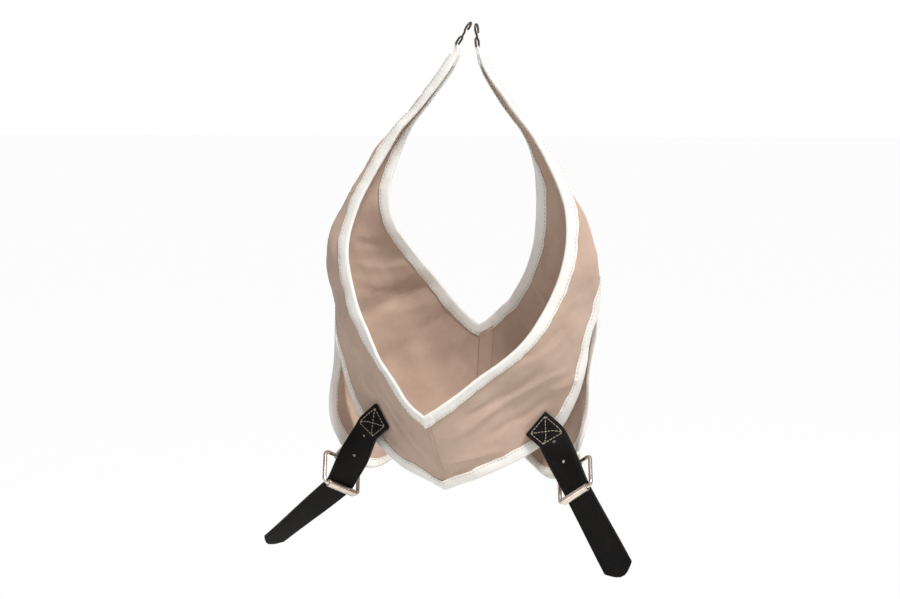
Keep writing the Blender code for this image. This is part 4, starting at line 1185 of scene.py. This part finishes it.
def hook_loop_piece(side, nm):
    """Folded tape closing the arm's top and passing through the hook's eye."""
    e, kk, a, b = hook_axes(side)
    sf, sr = SHEETS[(side, 0)], SHEETS[(side, 1)]

    def arm_mid(t):
        q = [sh.row(t, np.array([0.0, sh.length(t)]))[0] for sh in (sf, sr)]
        return (q[0][0] + q[0][1] + q[1][0]) / 3
    keys = [arm_mid(0.62), arm_mid(0.30), arm_mid(0.12) * 0.75 + e * 0.25,
            arm_mid(0.12) * 0.35 + e * 0.65, e - a * 0.6, e + a * 0.9]
    P, d = resample(cr(keys, np.linspace(0, 5, 60)), 0.45)
    wx = np.interp(np.linspace(0, 1, len(P)), [0, 0.25, 0.5, 0.75, 0.92, 1.0], [3.6, 3.3, 2.6, 1.9, 1.75, 0.9])
    wy = np.interp(np.linspace(0, 1, len(P)), [0, 0.25, 0.5, 0.75, 0.92, 1.0], [4.6, 4.4, 3.6, 3.05, 2.95, 2.5])
    V, UV = [], []
    n_s = 28
    for i in range(len(P)):
        t = unit(P[min(i + 1, len(P) - 1)] - P[max(i - 1, 0)])
        f = i / (len(P) - 1)
        y = unit(np.array([0.0, 1.0, 0.0]) * (1 - f) + b * f)
        y = unit(y - (y @ t) * t)
        x = np.cross(t, y)
        for j in range(n_s):
            g = 2 * math.pi * j / n_s
            cx, cy = math.cos(g), math.sin(g)
            # two plies meet in a shallow crease along each narrow side
            crease = 1 - 0.16 * math.exp(-(cx / 0.16) ** 2)
            sx = math.copysign(abs(cx) ** 0.75, cx) * wx[i]
            sy = math.copysign(abs(cy) ** 0.7, cy) * wy[i] * crease
            rib = 1 + 0.012 * math.sin(d[i] * 2 * math.pi / 1.1)
            V.append(P[i] + x * sx * rib + y * sy * rib)
            UV.append((d[i], g * 3.5))
    f = grid_faces(len(P), n_s, wrap=True)
    f.append(tuple(range(n_s))[::-1])
    f.append(tuple((len(P) - 1) * n_s + j for j in range(n_s)))
    ob = new_object("tape_loop_" + nm, V, f, M_TAPE, UV, sharp=70)
    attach(ob, "sling_body")
    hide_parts("hook_loop_" + nm)
    st = Parts()
    i = int(len(P) * 0.30)
    t = unit(P[i + 1] - P[i - 1])
    for sgn in (1, -1):
        x = unit(np.cross(t, [0.0, 1.0, 0.0])) * sgn
        for k in range(4):
            y0 = -3.0 + k * 1.6
            c = P[i] + x * (wx[i] * 0.97)
            st.stitch(c + np.array([0, y0, 0]), c + np.array([0, y0 + 1.1, 0]), x, 0.22, 0.15)
    so = st.build("tape_loop_stitches_" + nm, M_WHITE)
    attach(so, "sling_body")


for sd, nm in ((-1, "left"), (1, "right")):
    buckle(sd, nm)
    strap(sd, nm)
    tab(sd, nm)
    hook(sd, nm)
    hook_loop_piece(sd, nm)


# -------------------------------------------------------------------- stage
fm = Mat("pale_floor")
tcn = fm.node("ShaderNodeTexCoord").outputs["Object"]
fn = fm.noise(tcn, 3.0, 3.0, 0.5)
fm.link(fm.ramp(fn, [(0.0, (0.90, 0.90, 0.89)), (1.0, (0.93, 0.93, 0.92))]), fm.b.inputs["Base Color"])
fm.b.inputs["Roughness"].default_value = 0.95
fm.b.inputs["Emission Color"].default_value = (1, 1, 1, 1)
fm.b.inputs["Emission Strength"].default_value = 0.10
glow = fm.node("ShaderNodeEmission")
glow.inputs["Strength"].default_value = 1.0
flp = fm.node("ShaderNodeLightPath")
fmx = fm.node("ShaderNodeMixShader")
fm.link(fm.math('MULTIPLY', flp.outputs["Is Camera Ray"], 0.965), fmx.inputs[0])
fm.link(fm.b.outputs[0], fmx.inputs[1])
fm.link(glow.outputs[0], fmx.inputs[2])
fm.link(fmx.outputs[0], fm.nt.nodes["Material Output"].inputs["Surface"])
fm.b.inputs["Specular IOR Level"].default_value = 0.1
me = bpy.data.meshes.new("floor")
S = 30.0
me.from_pydata([(-S, -S, -0.62), (S, -S, -0.62), (S, S, -0.62), (-S, S, -0.62)], [], [(0, 1, 2, 3)])
me.materials.append(fm.m)
floor = bpy.data.objects.new("floor", me)
bpy.context.scene.collection.objects.link(floor)


def area_light(name, loc, target, size, power, colour=(1, 1, 1)):
    L = bpy.data.lights.new(name, 'AREA')
    L.shape = 'DISK'
    L.size = size
    L.energy = power
    L.color = colour
    ob = bpy.data.objects.new(name, L)
    ob.location = loc
    ob.rotation_euler = (Vector(target) - Vector(loc)).to_track_quat('-Z', 'Y').to_euler()
    bpy.context.scene.collection.objects.link(ob)


area_light("key", (0.98, -0.62, 1.62), (0, -0.04, -0.22), 0.62, 49.0, (1.0, 0.988, 0.97))
area_light("front", (0.70, -1.75, 0.75), (-0.05, 0.0, -0.22), 0.8, 4.0, (1.0, 0.99, 0.975))
area_light("fill", (-1.35, -1.45, -0.75), (0, -0.06, -0.28), 1.0, 8.0, (1.0, 0.99, 0.98))

world = bpy.data.worlds.new("studio")
bpy.context.scene.world = world
world.use_nodes = True
wn = world.node_tree
bg = wn.nodes["Background"]
bg.inputs["Color"].default_value = (1.0, 0.995, 0.985, 1)
bg.inputs["Strength"].default_value = 0.29
seen = wn.nodes.new("ShaderNodeBackground")
seen.inputs["Color"].default_value = (1.0, 1.0, 1.0, 1)
seen.inputs["Strength"].default_value = 1.0
lp = wn.nodes.new("ShaderNodeLightPath")
mx = wn.nodes.new("ShaderNodeMixShader")
wn.links.new(lp.outputs["Is Camera Ray"], mx.inputs[0])
wn.links.new(bg.outputs[0], mx.inputs[1])
wn.links.new(seen.outputs[0], mx.inputs[2])
wn.links.new(mx.outputs[0], wn.nodes["World Output"].inputs[0])
bpy.context.scene.view_settings.view_transform = 'Standard'
bpy.context.scene.view_settings.look = 'None'

cam = bpy.data.cameras.new("camera")
cam.sensor_width = 36.0
cam.lens = 74.24
cam.clip_end = 100.0
co = bpy.data.objects.new("camera", cam)
bpy.context.scene.collection.objects.link(co)
co.location = (0.44929256, -1.53862147, -0.06945341)
aim = Vector((-0.01593954, -0.01691585, -0.23669895))
co.rotation_euler = (aim - co.location).to_track_quat('-Z', 'Y').to_euler()
bpy.context.scene.camera = co
